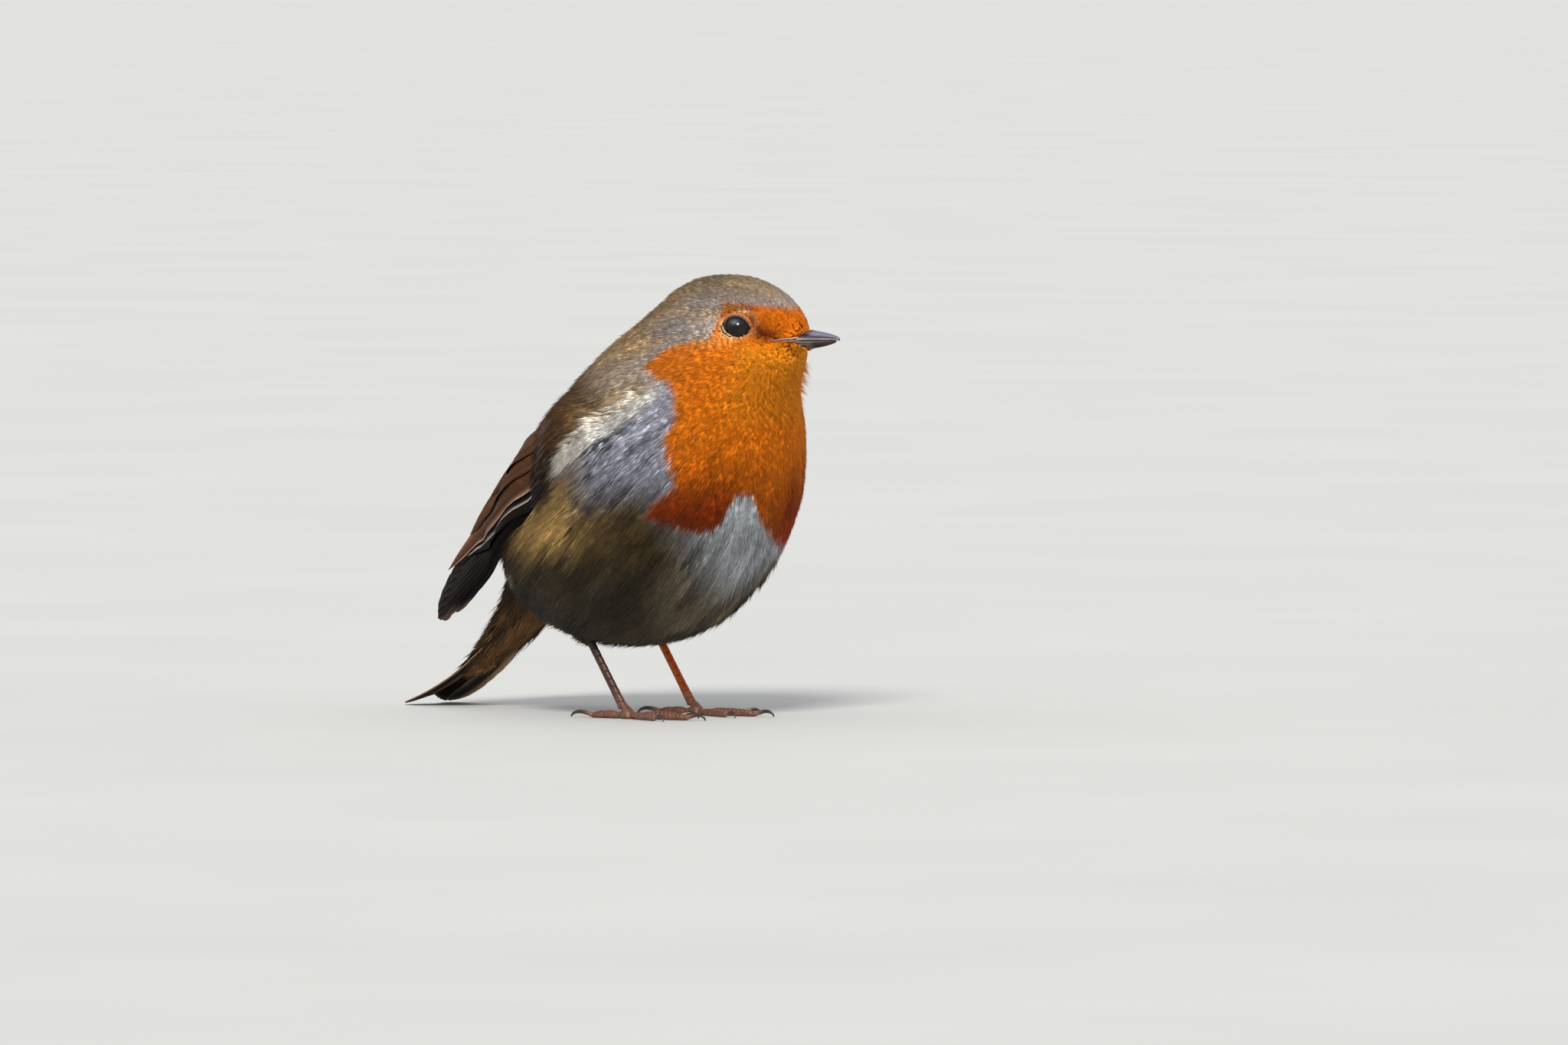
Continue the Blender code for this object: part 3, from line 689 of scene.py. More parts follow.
def lid_material():
    """The bare, wrinkled skin of the lids."""
    material, tree, shader = new_material("lid", (0.12, 0.10, 0.11), 0.42)
    tone = spread(tree, noise(tree, 3200, 3.0), 0, 1)
    colour = blend(tree, "MIX", tone, (0.022, 0.016, 0.016, 1), (0.075, 0.052, 0.046, 1))
    tree.links.new(colour, shader.inputs["Base Color"])
    bumped(tree, shader, noise(tree, 6000, 3.0), 0.4, 0.00006)
    return material


# ---- skin

FLESH = ["trunk", "neck", "head", "rump", "thigh_left", "thigh_right"]
WING_BASES = ["wing_left_coverts", "wing_right_coverts"]
GROWN = 0.25  # how far the fused surface stands outside the CAD
# painted shade in the eye sockets
SOCKET_SHADE = np.array([0.030, 0.020, 0.018])
# x, z, half width and half height of the wedge over the tail's base
TAIL_COVERTS = np.array([
    (-39, 24.0, 6.4, 4.0), (-44, 18.9, 6.6, 3.8), (-47, 16.1, 6.1, 3.0),
    (-50, 13.5, 5.4, 2.1), (-53, 11.2, 4.6, 1.3), (-55, 9.8, 3.6, 0.8), (-55.6, 9.4, 2.4, 0.5),
])
MUZZLE_MIDDLE = np.array([33.0, 0, 80.0])
MUZZLE_SIZE = np.array([6.2, 4.2, 3.6])
# how far from the foot's middle, and the radius there, where a toe grows out of the pad
TOE_ROOT = np.array([(-0.3, 0.30), (0.0, 0.85), (1.8, 0.72), (3.0, 0.62), (3.6, 0.56), (3.8, 0.2)])
INSET = 0.13  # of the legs' skin, which fusing has made too fat


def coat_depth(points):
    """How far the skin lies inside the outline."""
    x, y, z = turned(points, -1).T
    side = np.abs(y)
    rim = (1 - eased(np.hypot(x - EYE_X, z - EYE_Z), 3.2, 6.5)) * eased(side, 5, 7)
    depth = (0.35 + 0.022 * from_bill(points)) * (1 - rim) + 0.22 * rim
    leg = eased(19 - z, 0, 5) * (1 - eased(np.abs(side - 10), 3, 6)) * eased(x, -22, -18)
    return np.minimum(depth * (1 - 0.55 * leg), 1.7) * (1 - 0.85 * eased(-x, 42, 50))


def tail_coverts():
    """A wedge that carries the coat from the rump's end over the tail's base."""
    x, z, wide, high = TAIL_COVERTS.T
    up = (TAIL_WAY[2], 0.0, -TAIL_WAY[0])
    return tube(np.stack([x, 0 * x, z], axis=1), (0, 1, 0), up, wide, high, 28)


def muzzle():
    """A blunt body that fills the head's opening round the bill."""
    tilt, angle = np.meshgrid(np.linspace(0.05, 3.09, 14), circle(20), indexing="ij")
    ball = np.stack([np.cos(tilt), np.sin(tilt) * np.cos(angle), np.sin(tilt) * np.sin(angle)], axis=-1)
    points, faces = lofted(MUZZLE_MIDDLE + ball * MUZZLE_SIZE)
    return turned(points), faces


def toe_root(foot, toe_points, widened):
    """A short tube that carries a toe into the pad under the shank."""
    along = unit((toe_points - foot).mean(0) * (1, 1, 0))
    reach, radius = TOE_ROOT.T
    middles = foot + along * reach[:, None] + (0, 0, 0.72)
    return tube(middles, (-along[1], along[0], 0), (0, 0, 1), radius * widened, radius * widened, 12)


def leg_surface(side):
    """Shank and toes of one leg as one surface, with scutes on top and pads below."""
    names = [f"toe_{side}_{toe}" for toe in TOES]
    shank, *toes = (node_points(name) for name in [f"shank_{side}", *names])
    foot = shank[shank[:, 2] < 0.5].mean(0)
    top = shank[shank[:, 2] > shank[:, 2].max() - 0.8].mean(0)
    roots = [toe_root(foot, shape, 1.15 if toe == "hallux" else 1.0) for toe, shape in zip(TOES, toes)]
    points, normals, faces = fused([f"shank_{side}", *names], 0.22, 0.17, 5, roots)
    off = points - foot
    over = eased(normals[:, 2], -0.1, 0.35)
    swell = np.full(len(points), -INSET)
    shade = np.ones(len(points))
    best = np.full(len(points), np.inf)
    for shape in toes:
        flat = (shape - foot) * (1, 1, 0)
        along = unit(flat[np.argmax(np.linalg.norm(flat, axis=1))])
        s = off @ along
        apart = np.linalg.norm(off * (1, 1, 0) - s[:, None] * along, axis=1)
        mine = (s > 1.6) & (apart < np.minimum(best, 9)) & (points[:, 2] < 2.4)
        best = np.where(mine, apart, best)
        scute = (s / 0.92) % 1.0
        groove = bump(np.abs(scute - 0.5), 0.5, 0.10)
        plate = 0.10 * np.sin(np.pi * scute) ** 0.5 - 0.11 * groove
        pad = 0.10 * np.cos(2 * np.pi * s / 3.1)
        swell = np.where(mine, plate * over + pad * (1 - over) - INSET, swell)
        shade = np.where(mine, 1.12 - 0.62 * groove * over, shade)
    rise = off @ unit(top - foot)
    on_shank = eased(rise, 2.2, 3.6)
    scute = ((rise + 0.35 * off[:, 1]) / 1.9) % 1.0
    groove = bump(np.abs(scute - 0.5), 0.5, 0.08)
    front = eased(normals @ np.array([0.8, 0, 0.5]), -0.2, 0.5)
    plate = (0.045 * scute - 0.10 * groove) * (0.25 + 0.75 * front) - INSET
    points = points + normals * (swell * (1 - on_shank) + plate * on_shank)[:, None]
    points[:, 2] = np.maximum(points[:, 2], 0.0)
    return points, faces, leg_colours(points) * (shade * (1 - 0.45 * groove * on_shank))[:, None]


def leg_colours(points):
    """Reddish brown toes with darker soles; the shanks are lit and shaded copies of one skin: an orange left
    shank as painted light, and a dark right one as painted shade, near-black at its top.
    """
    _, y, z = points.T
    shank = eased(z, 2.2, 7)
    right = eased(-y, -1, 1)
    # painted light: the left shank is a lit orange
    colour = mixed((0.120, 0.052, 0.032), (0.460, 0.086, 0.010), shank * (1 - right))
    # painted shade: the right shank is dark, near-black at its top
    colour = mixed(colour, (0.036, 0.012, 0.008), shank * right * 0.85)
    colour = mixed(colour, (0.014, 0.009, 0.007), eased(z, 11, 17) * right * 0.8)
    return mixed(colour, (0.070, 0.028, 0.018), 0.6 * (1 - eased(z, 0.1, 0.7)))


# radius of the plug behind the eye, and its height over the eye's middle
EYE_PLUG = np.array(
    [(0.1, -2.6), (2.6, -2.5), (3.3, -1.8), (3.45, 0.0), (3.4, 1.0), (3.1, 1.5), (2.4, 1.75), (0.1, 1.8)]
)
EYE_RADIUS = 3.0
LID_LONG, LID_HIGH = 2.66, 2.48  # from the eye's axis to the lids' rim


class Eye:
    """An eye's middle and the directions round it: out of the head, forward and up."""

    def __init__(self, side, surface_points):
        low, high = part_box(f"eye_{side}")
        self.side = side
        self.middle = from_frame((low + high) / 2)
        far = np.linalg.norm(surface_points - self.middle, axis=1)
        near = surface_points[(far > 3.7) & (far < 5.4)]
        self.out = np.linalg.svd(near - near.mean(0))[2][2]
        self.out *= np.sign(self.out @ (near.mean(0) - self.middle))
        forward = np.array([1.0, 0, 0])
        self.forward = unit(forward - dot(forward, self.out) * self.out)
        self.up = np.cross(self.out, self.forward) * SIDES[side] * -1

    def plug(self):
        """A short round plug that fills the socket up to the face."""
        reach, height = EYE_PLUG.T
        return tube(self.middle + self.out * height[:, None], self.forward, self.up, reach, reach, 28)

    def place(self, angle, across, height):
        """A place round the eye's axis: angle 0 is forward and a quarter turn is up."""
        angle, across, height = (np.asarray(v, float)[..., None] for v in (angle, across, height))
        ring = self.forward * np.cos(angle) + self.up * np.sin(angle)
        return self.middle + ring * across + self.out * height


def lid_reach(angle):
    """How far the lids' rim is from the axis: longest at the front corner."""
    turn = np.angle(np.exp(1j * angle))
    oval = np.hypot(LID_LONG * np.cos(angle), LID_HIGH * np.sin(angle))
    return oval + 0.22 * bump(turn, 0, 0.22) + 0.10 * bump(np.pi - np.abs(turn), 0, 0.25)


def lid_surface(eye):
    """The thick rim of both lids, which hugs the eyeball and sinks into the skin."""
    angle, turn = np.meshgrid(circle(96), circle(12), indexing="ij")
    reach = lid_reach(angle)
    height = np.sqrt(EYE_RADIUS**2 - np.minimum(reach, 2.9) ** 2)
    wrinkle = 0.03 * np.sin(angle * 23 + 2 * np.sin(3 * angle)) + 0.02 * np.sin(angle * 41)
    thick = 0.17 + 0.03 * np.sin(angle) + wrinkle * (np.sin(turn) > -0.2)
    across = reach + 0.12 + thick * np.cos(turn)
    points = eye.place(angle, across, height + 0.02 + 0.85 * thick * np.sin(turn))
    quads = ringed(*angle.shape)
    flat = points.reshape(-1, 3)
    first = flat[quads[0]]
    facing = np.cross(first[1] - first[0], first[3] - first[0])
    return flat, [quads if facing @ (flat[0] - points[0].mean(0)) > 0 else quads[:, ::-1]]


def make_skin(points, normals, faces, eyes, materials):
    """One skin under the whole coat, with the lids' rims and down to the scaly toes."""
    skin = points - normals * (GROWN + coat_depth(points))[:, None]
    limbs = [leg_surface(side) for side in SIDES]
    parts = [(skin, faces), *(limb[:2] for limb in limbs), *(lid_surface(eye) for eye in eyes)]
    places, corners = joined(parts)
    # painted shade: the skin takes the markings, darkened as the shade under the coat
    colours = markings(places) * 0.7
    # painted shade: the skin in each eye's socket, round and behind the eyeball, is near-black
    for eye in eyes:
        off = places - eye.middle
        reach = np.linalg.norm(off - dot(off, eye.out) * eye.out, axis=1)
        colours = mixed(colours, SOCKET_SHADE, (reach < 3.1) & (off @ eye.out > 0))
    leg_colouring = np.concatenate([limb[2] for limb in limbs])
    colours[len(skin) : len(skin) + len(leg_colouring)] = leg_colouring
    made = new_mesh("skin", places, corners, colours, {"OFBake": unwrapped_corners(places, corners)})
    replaced = FLESH + WING_BASES + [f"shank_{side}" for side in SIDES]
    replaced += [f"toe_{side}_{toe}" for side in SIDES for toe in TOES]
    settle(made, materials, replaced)
    kinds = [np.full(len(f), kind) for part, kind in zip(parts, (0, 1, 1, 2, 2)) for f in part[1]]
    made.data.polygons.foreach_set("material_index", np.concatenate(kinds).astype(np.int32))


# ---- coat

BILL_BASE_X, BILL_LENGTH = 32.0, 15.6
# x, length of the feathers, and the share of the height that stays bare beside the gape
BILL_RINGS = [(35.6, 1.7, 0.28), (36.4, 1.7, 0.34), (37.2, 1.9, 0.42), (38.0, 1.9, 0.60), (38.7, 1.9, 0.82)]
STRANDS = 6  # in a tuft
RING_AT = 0.56  # of a strand's length, where it is widest
BRIGHTEST = 0.90


def lie(points):
    """The way the coat lies: from the bill over the body to the vent, as water flows."""
    pull = np.array([0, 0, -0.004])
    for stretch in (points - BILL_SOURCE, VENT - points):
        pull = pull + stretch / np.linalg.norm(stretch, axis=1, keepdims=True) ** 2
    over_tail = eased(-points[:, 0], 38, 50)[:, None]
    return unit(unit(pull) * (1 - over_tail) + TAIL_WAY * over_tail)


def along_surface(directions, normals):
    return unit(directions - dot(directions, normals) * normals)


Looks = namedtuple("Looks", "length depth fan width lift streak tone pull colour")
Plumes = namedtuple("Plumes", "name slot inside spacing length lift width fan level colour")


def looks_of(count, **values):
    """The looks of that many tufts, from values that are one for all of them or one for each."""
    for name, value in values.items():
        values[name] = value if np.ndim(value) else np.full(count, value)
    return Looks(**values)


def tufts(name, slot, material, roots, normals, ways, outer, looks):
    """Tufts of closed, tapering strands that lie on the outer surface, if there is one. The
    looks hold the pull that brings the tips together, and how strands and tufts vary in tone."""
    length, depth = looks.length[:, None], looks.depth[:, None]
    first = along_surface(ways, normals)
    middle = roots + first * length * RING_AT
    if outer is not None:
        middle, middle_normals = outer.nearest(middle)
        onward = along_surface(0.5 * first + 0.5 * lie(middle), middle_normals)
        tip, tip_normals = outer.nearest(middle + onward * length * (1 - RING_AT))
    else:
        middle_normals = tip_normals = normals
        onward = first
        tip = middle + onward * length * (1 - RING_AT)
    root = roots - normals * depth
    middle = middle - middle_normals * (depth * 0.42)
    tip = tip + tip_normals * looks.lift[:, None]

    shape = (len(roots), STRANDS, 1)
    lane = np.linspace(-1, 1, STRANDS)[None, :, None] + rng.normal(0, 0.18, shape)
    side = np.cross(normals, first)[:, None]
    middle_side = np.cross(middle_normals, onward)[:, None]
    tip_side = np.cross(tip_normals, onward)[:, None]
    fan = looks.fan[:, None, None]
    share = rng.uniform(0.80, 1.14, shape)
    width = looks.width[:, None, None] * rng.uniform(0.75, 1.25, shape)
    start = root[:, None] + side * lane * fan * 0.45
    ring = middle[:, None] + middle_side * lane * fan * 0.85
    end = tip[:, None] + tip_side * (lane * fan * 1.15 + rng.normal(0, 0.25, shape) * fan)
    apart = tip_normals[:, None] * rng.normal(0, 0.03, shape) * length[:, None]
    end = start + (end - start) * share + apart
    pull = looks.pull[:, None]
    ring, end = ring + 0.45 * pull, end + pull
    roll = rng.normal(0, 0.45, shape[:2])
    flat = rolled(middle_side, onward[:, None], roll) * width / 2
    ridge = rolled(middle_normals[:, None], onward[:, None], roll) * width * 0.38
    points = np.stack([start, ring - flat, ring + ridge, ring + flat, end], axis=2)
    strand = np.array([(0, 2, 1), (0, 3, 2), (0, 1, 3), (1, 2, 4), (2, 3, 4), (3, 1, 4)])
    faces = (np.arange(len(roots) * STRANDS)[:, None, None] * 5 + strand).reshape(-1, 3)

    bright = np.exp(rng.normal(0, 1, shape) * looks.streak[:, None, None] + looks.tone[:, None, None])
    tone = looks.colour[:, None] * bright
    tone = tone / np.maximum(tone.max(axis=-1, keepdims=True) / BRIGHTEST, 1)
    # painted shade and light along each strand: darkest at the root, under the other strands, and lightest at
    # the free tip
    colours = np.clip(tone[:, :, None] * np.array([0.50, 0.92, 1.00, 0.92, 1.08])[:, None], 0, 1)
    spot = np.broadcast_arrays(np.linspace(-1, 1, STRANDS)[:, None], np.array([-1.0, 0.1, 0.1, 0.1, 1.0]))
    patch = unwrapped(roots)[:, None, None] + 0.0015 * np.stack(spot, axis=-1)
    maps = {"OFBake": patch.reshape(-1, 2)}
    settle(new_mesh(name, points.reshape(-1, 3), [faces], colours.reshape(-1, 3), maps), [material])


def streams(points):
    """(angle, run, radius) of points round the line from the bill to the vent, which the lie
    follows: run counts a feather's length as one, short at the bill and long at the vent."""
    along = unit(VENT - BILL_SOURCE)
    up = np.array([along[2], 0, -along[0]])
    off = points - BILL_SOURCE
    reach = off @ along
    angle = np.arctan2(off @ np.cross(along, up), off @ up)
    radius = np.linalg.norm(off - reach[:, None] * along, axis=1)
    return angle, 13 * np.log(1 + np.maximum(reach + 6, 0) / 42), radius


def locks(points, width, length):
    """Cells that run along the lie: for each point a cell number and how far the cell's
    middle line is to the side, in millimetres."""
    angle, run, radius = streams(points)
    column = np.floor(angle / width).astype(int)
    column -= column.min()
    shift = rng.random(column.max() + 1)[column]
    row = np.floor(run / length + shift).astype(int)
    row -= row.min()
    _, number = np.unique(column * 1000 + row, return_inverse=True)
    return number, ((np.floor(angle / width) + 0.5) * width - angle) * radius


def shared(cells):
    """A random number for each cell, at every point of the cell."""
    return rng.normal(0, 1, cells.max() + 1)[cells]


def sided(name, slot, inside, y, material, roots, normals, ways, outer, looks):
    """The tufts inside, as a piece on either side of the body."""
    for side, sign in SIDES.items():
        chosen = inside & (y * sign > 0)
        part = Looks(*(value[chosen] for value in looks))
        places = roots[chosen], normals[chosen], ways[chosen]
        tufts(f"coat_{name}_{side}", slot, material, *places, outer, part)


def bare_places(roots, wing_bases, bill):
    """Where no tuft grows: in the sockets, round the mouth and under the flight feathers."""
    x, y, z = turned(roots, -1).T
    side = np.abs(y)
    socket = (eye_reach(x, z) < 2.75) & (side > 3.5)
    corner = np.abs(z - GAPE_Z + 0.06) < 0.34 - 0.06 * (39 - x)
    mouth = (bill.distances(roots) < 0.24) | (corner & (x > 33.4) & (side > 1.2))
    s, t = wing_plane(roots)
    on_wing = (wing_bases.distances(roots) < 0.9) & (s > 13 + 0.55 * t) & (t < 9.5) & (t > -2.7)
    return socket | mouth | on_wing


def make_coat(outer, flow, wing_bases, bill, material):
    """The body's whole coat, in pieces by region and side."""
    roots = outer.scattered(420000)
    roots = roots[thinned(roots, 0.37 + 0.0078 * from_bill(roots))]
    roots = roots[~bare_places(roots, wing_bases, bill)]
    count, distance = len(roots), from_bill(roots)
    _, normals = outer.nearest(roots)
    p = turned(roots, -1)
    x, y, z = p.T
    side, slant, _ = flank_places(x, y, z)

    # short round the bill, the eyes and the shanks, and long at the vent
    length = np.clip(1.3 + 0.140 * distance, 1.3, 9.8)
    length *= 1 - 0.48 * (1 - eased(eye_reach(x, z), 3.2, 7.0)) * (side > 5)
    length += 3.0 * eased(-x, 24, 38)
    thigh = eased(20 - z, 0, 4) * (1 - eased(np.abs(side - 10), 2.5, 5)) * eased(x, -22, -17)
    length *= (1 - 0.5 * thigh) * (1 - 0.50 * eased(-x, 40, 52)) * rng.uniform(0.82, 1.18, count)

    # locks whose tufts share a tone, and on the breast's side thin dark lines between them
    fine, aside = locks(roots, 0.062, 1.1)
    broad, _ = locks(roots, 0.17, 1.5)
    fine_tone, broad_tone = shared(fine), np.clip(shared(broad), -1.5, 1.5)
    hair, _ = locks(roots, 0.020, 2.4)
    hair_tone = rng.choice([-1.6, 0.0, 0.40], hair.max() + 1, p=[0.15, 0.55, 0.30])[hair]

    # each tuft lies with the stream, a little astray, and its tip is drawn to its lock's middle
    loose = 0.05 + 0.05 * eased(-z, -40, -22) + 0.10 * thigh
    swerve = 0.06 * shared(broad)
    ways = rolled(along_surface(lie(roots), normals), normals, rng.normal(0, 1, count) * loose + swerve)
    across = np.cross(ways, normals)
    around = np.cross(unit(VENT - BILL_SOURCE), roots - BILL_SOURCE)
    pull = across * np.sign(dot(across, around)) * np.clip(aside, -1.2, 1.2)[:, None]
    shown = roots + ways * (0.72 * length)[:, None]
    chin = eased(x, 30, 36) * (1 - eased(np.abs(z - 72), 5, 8))
    rough = eased(48 - z, 0, 10) * eased(14 - slant, 0, 8)
    patchy = 0.10 + 0.10 * eased(-x, -8, 6) * eased(62 - z, 0, 8) + 0.12 * rough
    combed = bump(slant, -8, 11) * bump(z, 56, 8) * (side > 8)
    lift = rng.normal(0, 0.06, count) + 0.10 * shared(fine)
    lift *= (1 - 0.55 * eased(inside_bib(x, y, z), 0, 2)) * (0.45 + length * 0.17)
    uneven = streakiness(shown)
    tone = uneven * (0.7 - 0.35 * combed + 0.9 * rough) * fine_tone + patchy * broad_tone
    looks = looks_of(
        count,
        length=length,
        depth=GROWN + coat_depth(roots) + 0.1,
        fan=(0.37 + 0.0078 * distance) * 0.62,
        width=(0.150 + 0.0036 * distance) * (1 + 0.15 * combed),
        lift=0.12 - GROWN + lift + 0.35 * chin * rng.random(count),
        streak=uneven * (0.7 + 0.3 * combed),
        tone=tone + combed * hair_tone,
        pull=pull * 0.6,
        colour=markings(shown),
    )
    head = p @ TURN_AXIS > 74
    bib = np.minimum(inside_bib(x, y, z), bib_top(x) - z) >= 0
    under = ~head & ~bib & (z < under_line(x))
    back = ~head & ~bib & ~under
    regions = [
        ("crown", "brown_plumage", head & ~bib),
        ("face", "orange_plumage", head & bib),
        ("breast", "orange_plumage", ~head & bib),
        ("belly", "belly_plumage", under & (x > 4)),
        ("flank", "belly_plumage", under & (x <= 4) & (x > -26)),
        ("vent", "belly_plumage", under & (x <= -26)),
        ("shoulder", "brown_plumage", back & (x > -2)),
        ("mantle", "brown_plumage", back & (x <= -2)),
    ]
    for region, slot, inside in regions:
        sided(region, slot, inside, y, material, roots, normals, ways, flow, looks)


def make_plumes(outer, material):
    """White plumes before the wing, barbs that stand off them, and the throat's loose wisps."""
    roots = outer.scattered(120000)
    x, y, z = turned(roots, -1).T
    side, slant, rise = flank_places(x, y, z)
    plume = (np.abs(rise + 0.7) < 0.5 + 0.9 * eased(-slant, 4, 20)) & (slant > -20.5) & (slant < -1)
    barb = (np.abs(rise - 0.6) < 0.8) & (slant > -19.5) & (slant < -4)
    wisp = (x > 31) & (z > 64) & (z < 75) & (side > 1) & (side < 9)
    white, orange = "belly_plumage", "orange_plumage"
    kinds = [
        Plumes("plumes", white, plume & (side > 10), 0.62, 5.6, 0.34, 0.20, 0.60, 0.16, (0.99, 0.95, 0.90)),
        Plumes("barbs", white, barb & (side > 10), 1.00, 5.4, 0.42, 0.20, 0.20, 0.85, (0.98, 0.90, 0.80)),
        Plumes("wisps", orange, wisp, 0.90, 3.6, 1.50, 0.09, 0.24, 0.02, (0.980, 0.345, 0.035)),
    ]
    for kind in kinds:
        chosen = np.flatnonzero(kind.inside)
        chosen = chosen[thinned(roots[chosen], np.full(len(chosen), kind.spacing))]
        places, count = roots[chosen], len(chosen)
        _, normals = outer.nearest(places)
        level = unit(np.array([-1.0, 0.0, -0.12]))
        ways = along_surface(lie(places) * (1 - kind.level) + level * kind.level, normals)
        ways = rolled(ways, normals, rng.normal(0, 0.10, count))
        cream = rng.random((count, 1)) * (0.02, 0.05, 0.11)
        looks = looks_of(
            count,
            length=kind.length * rng.uniform(0.75, 1.15, count),
            depth=0.45,
            fan=kind.fan,
            width=kind.width,
            lift=kind.lift * rng.uniform(0.4, 1.5, count),
            streak=0.22,
            tone=rng.normal(-0.04, 0.10, count),
            pull=np.zeros((count, 3)),
            colour=np.maximum(kind.colour - cream, 0.01),
        )
        everywhere = np.ones(count, bool)
        sided(kind.name, kind.slot, everywhere, y[chosen], material, places, normals, ways, outer, looks)


def make_bill_feathers(material):
    """The small feathers that grip the bill's base."""
    roots, normals, lengths = [], [], []
    for x, length, bare in BILL_RINGS:
        around = circle(34) + rng.normal(0, 0.04, 34)
        rise, aside = np.sin(around), np.cos(around)
        shown = (np.abs(rise) > bare) & ((rise > 0) | (x < 38.5))
        t = (x - BILL_BASE_X) / BILL_LENGTH
        wide = 0.3 + 2.2 * (1 - t**1.9) ** 0.8
        tall = 0.5 + np.where(rise > 0, 2.0 * (1 - t**2.2) ** 0.8, 1.75 * (1 - t**1.9) ** 0.8)
        ring = np.stack([0 * aside + x, aside * wide, GAPE_Z + rise * tall], axis=1)
        roots.append(ring[shown])
        normals.append(np.stack([0 * aside, aside, rise], axis=1)[shown])
        lengths.append(np.full(shown.sum(), length))
    roots, normals, length = np.concatenate(roots), unit(np.concatenate(normals)), np.concatenate(lengths)
    count = len(roots)
    ways = unit(np.array([1.0, 0, 0]) + 0.10 * normals + rng.normal(0, 0.07, normals.shape)) - (0, 0, 0.10)
    above = eased(normals[:, 2], -0.1, 0.3)[:, None]
    aside = eased(np.abs(normals[:, 1]), 0.5, 0.9)[:, None]
    looks = looks_of(
        count,
        length=length * rng.uniform(0.8, 1.25, count),
        depth=0.15,
        fan=0.28,
        width=0.13,
        lift=0.0,
        streak=0.2,
        tone=rng.normal(0, 0.12, count),
        pull=np.zeros((count, 3)),
        colour=(FOREHEAD * above + AMBER * 0.75 * (1 - above)) * (1 - 0.55 * aside * above),
    )
    ways = turned(roots + ways) - turned(roots)
    tufts("coat_bill_base", "orange_plumage", material, turned(roots), normals, ways, None, looks)


def make_eye_ring(outer, eye, material):
    """The two rows of tiny feathers round an eye."""
    inner, ends = [], []
    for gap, step in ((0.22, 0.080), (0.46, 0.085)):
        around = np.arange(0, 2 * np.pi, step)
        around = around + rng.normal(0, 0.02, len(around))
        across = lid_reach(around) + gap
        inner.append(eye.place(around, across, 0 * around + 1.3))
        ends.append(eye.place(around, across + 1, 0 * around + 1.1))
    roots, _ = outer.nearest(np.concatenate(inner))
    _, normals = outer.nearest(roots)
    ways = along_surface(unit(np.concatenate(ends) - roots) + 0.9 * lie(roots), normals)
    off = roots - eye.middle
    rust = np.maximum(eased(dot(off, eye.forward), -1.2, 2.2), eased(dot(off, eye.up), 0.8, 2.4))
    count = len(roots)
    looks = looks_of(
        count,
        length=rng.uniform(0.45, 0.75, count),
        depth=0.45,
        fan=0.17,
        width=0.10,
        lift=-0.02,
        streak=0.12,
        tone=rng.normal(0, 0.08, count),
        pull=np.zeros((count, 3)),
        colour=EYE_RING * (1 - 0.75 * rust) + FOREHEAD * 0.75 * rust,
    )
    tufts(f"coat_eye_ring_{eye.side}", "orange_plumage", material, roots, normals, ways, outer, looks)


# ---- eyes, bill and claws


def make_eye(eye, material):
    """A wet, dark eyeball with its cornea's bulge, its iris and a faint painted reflection of the sky."""
    tilt, angle = np.meshgrid(np.linspace(0.02, np.pi - 0.02, 48), circle(64), indexing="ij")
    radius = EYE_RADIUS * (0.985 + 0.022 * bump(tilt, 0, 0.55))
    points, faces = lofted(eye.place(angle, radius * np.sin(tilt), radius * np.cos(tilt)))
    fibres = 1 + 0.25 * np.sin(angle * 31 + 3 * np.sin(angle * 7)) * np.cos(angle * 5)
    brown = np.array([0.011, 0.0055, 0.0035]) * fibres[..., None]
    iris = mixed(np.full(3, 0.003), brown, eased(tilt, 0.36, 0.44))
    iris = mixed(iris, np.full(3, 0.004), eased(tilt, 0.86, 0.98))
    ahead, above = np.sin(tilt) * np.cos(angle), np.sin(tilt) * np.sin(angle)
    # painted reflection: a faint bluish patch of sky high on the cornea
    iris = mixed(iris, (0.110, 0.130, 0.160), 0.8 * bump(ahead, 0.02, 0.26) * bump(above, 0.44, 0.15))
    colours = np.concatenate([iris.reshape(-1, 3), np.full((2, 3), 0.003)])
    settle(new_mesh(f"eyeball_{eye.side}", points, faces, colours), [material], [f"eye_{eye.side}"])




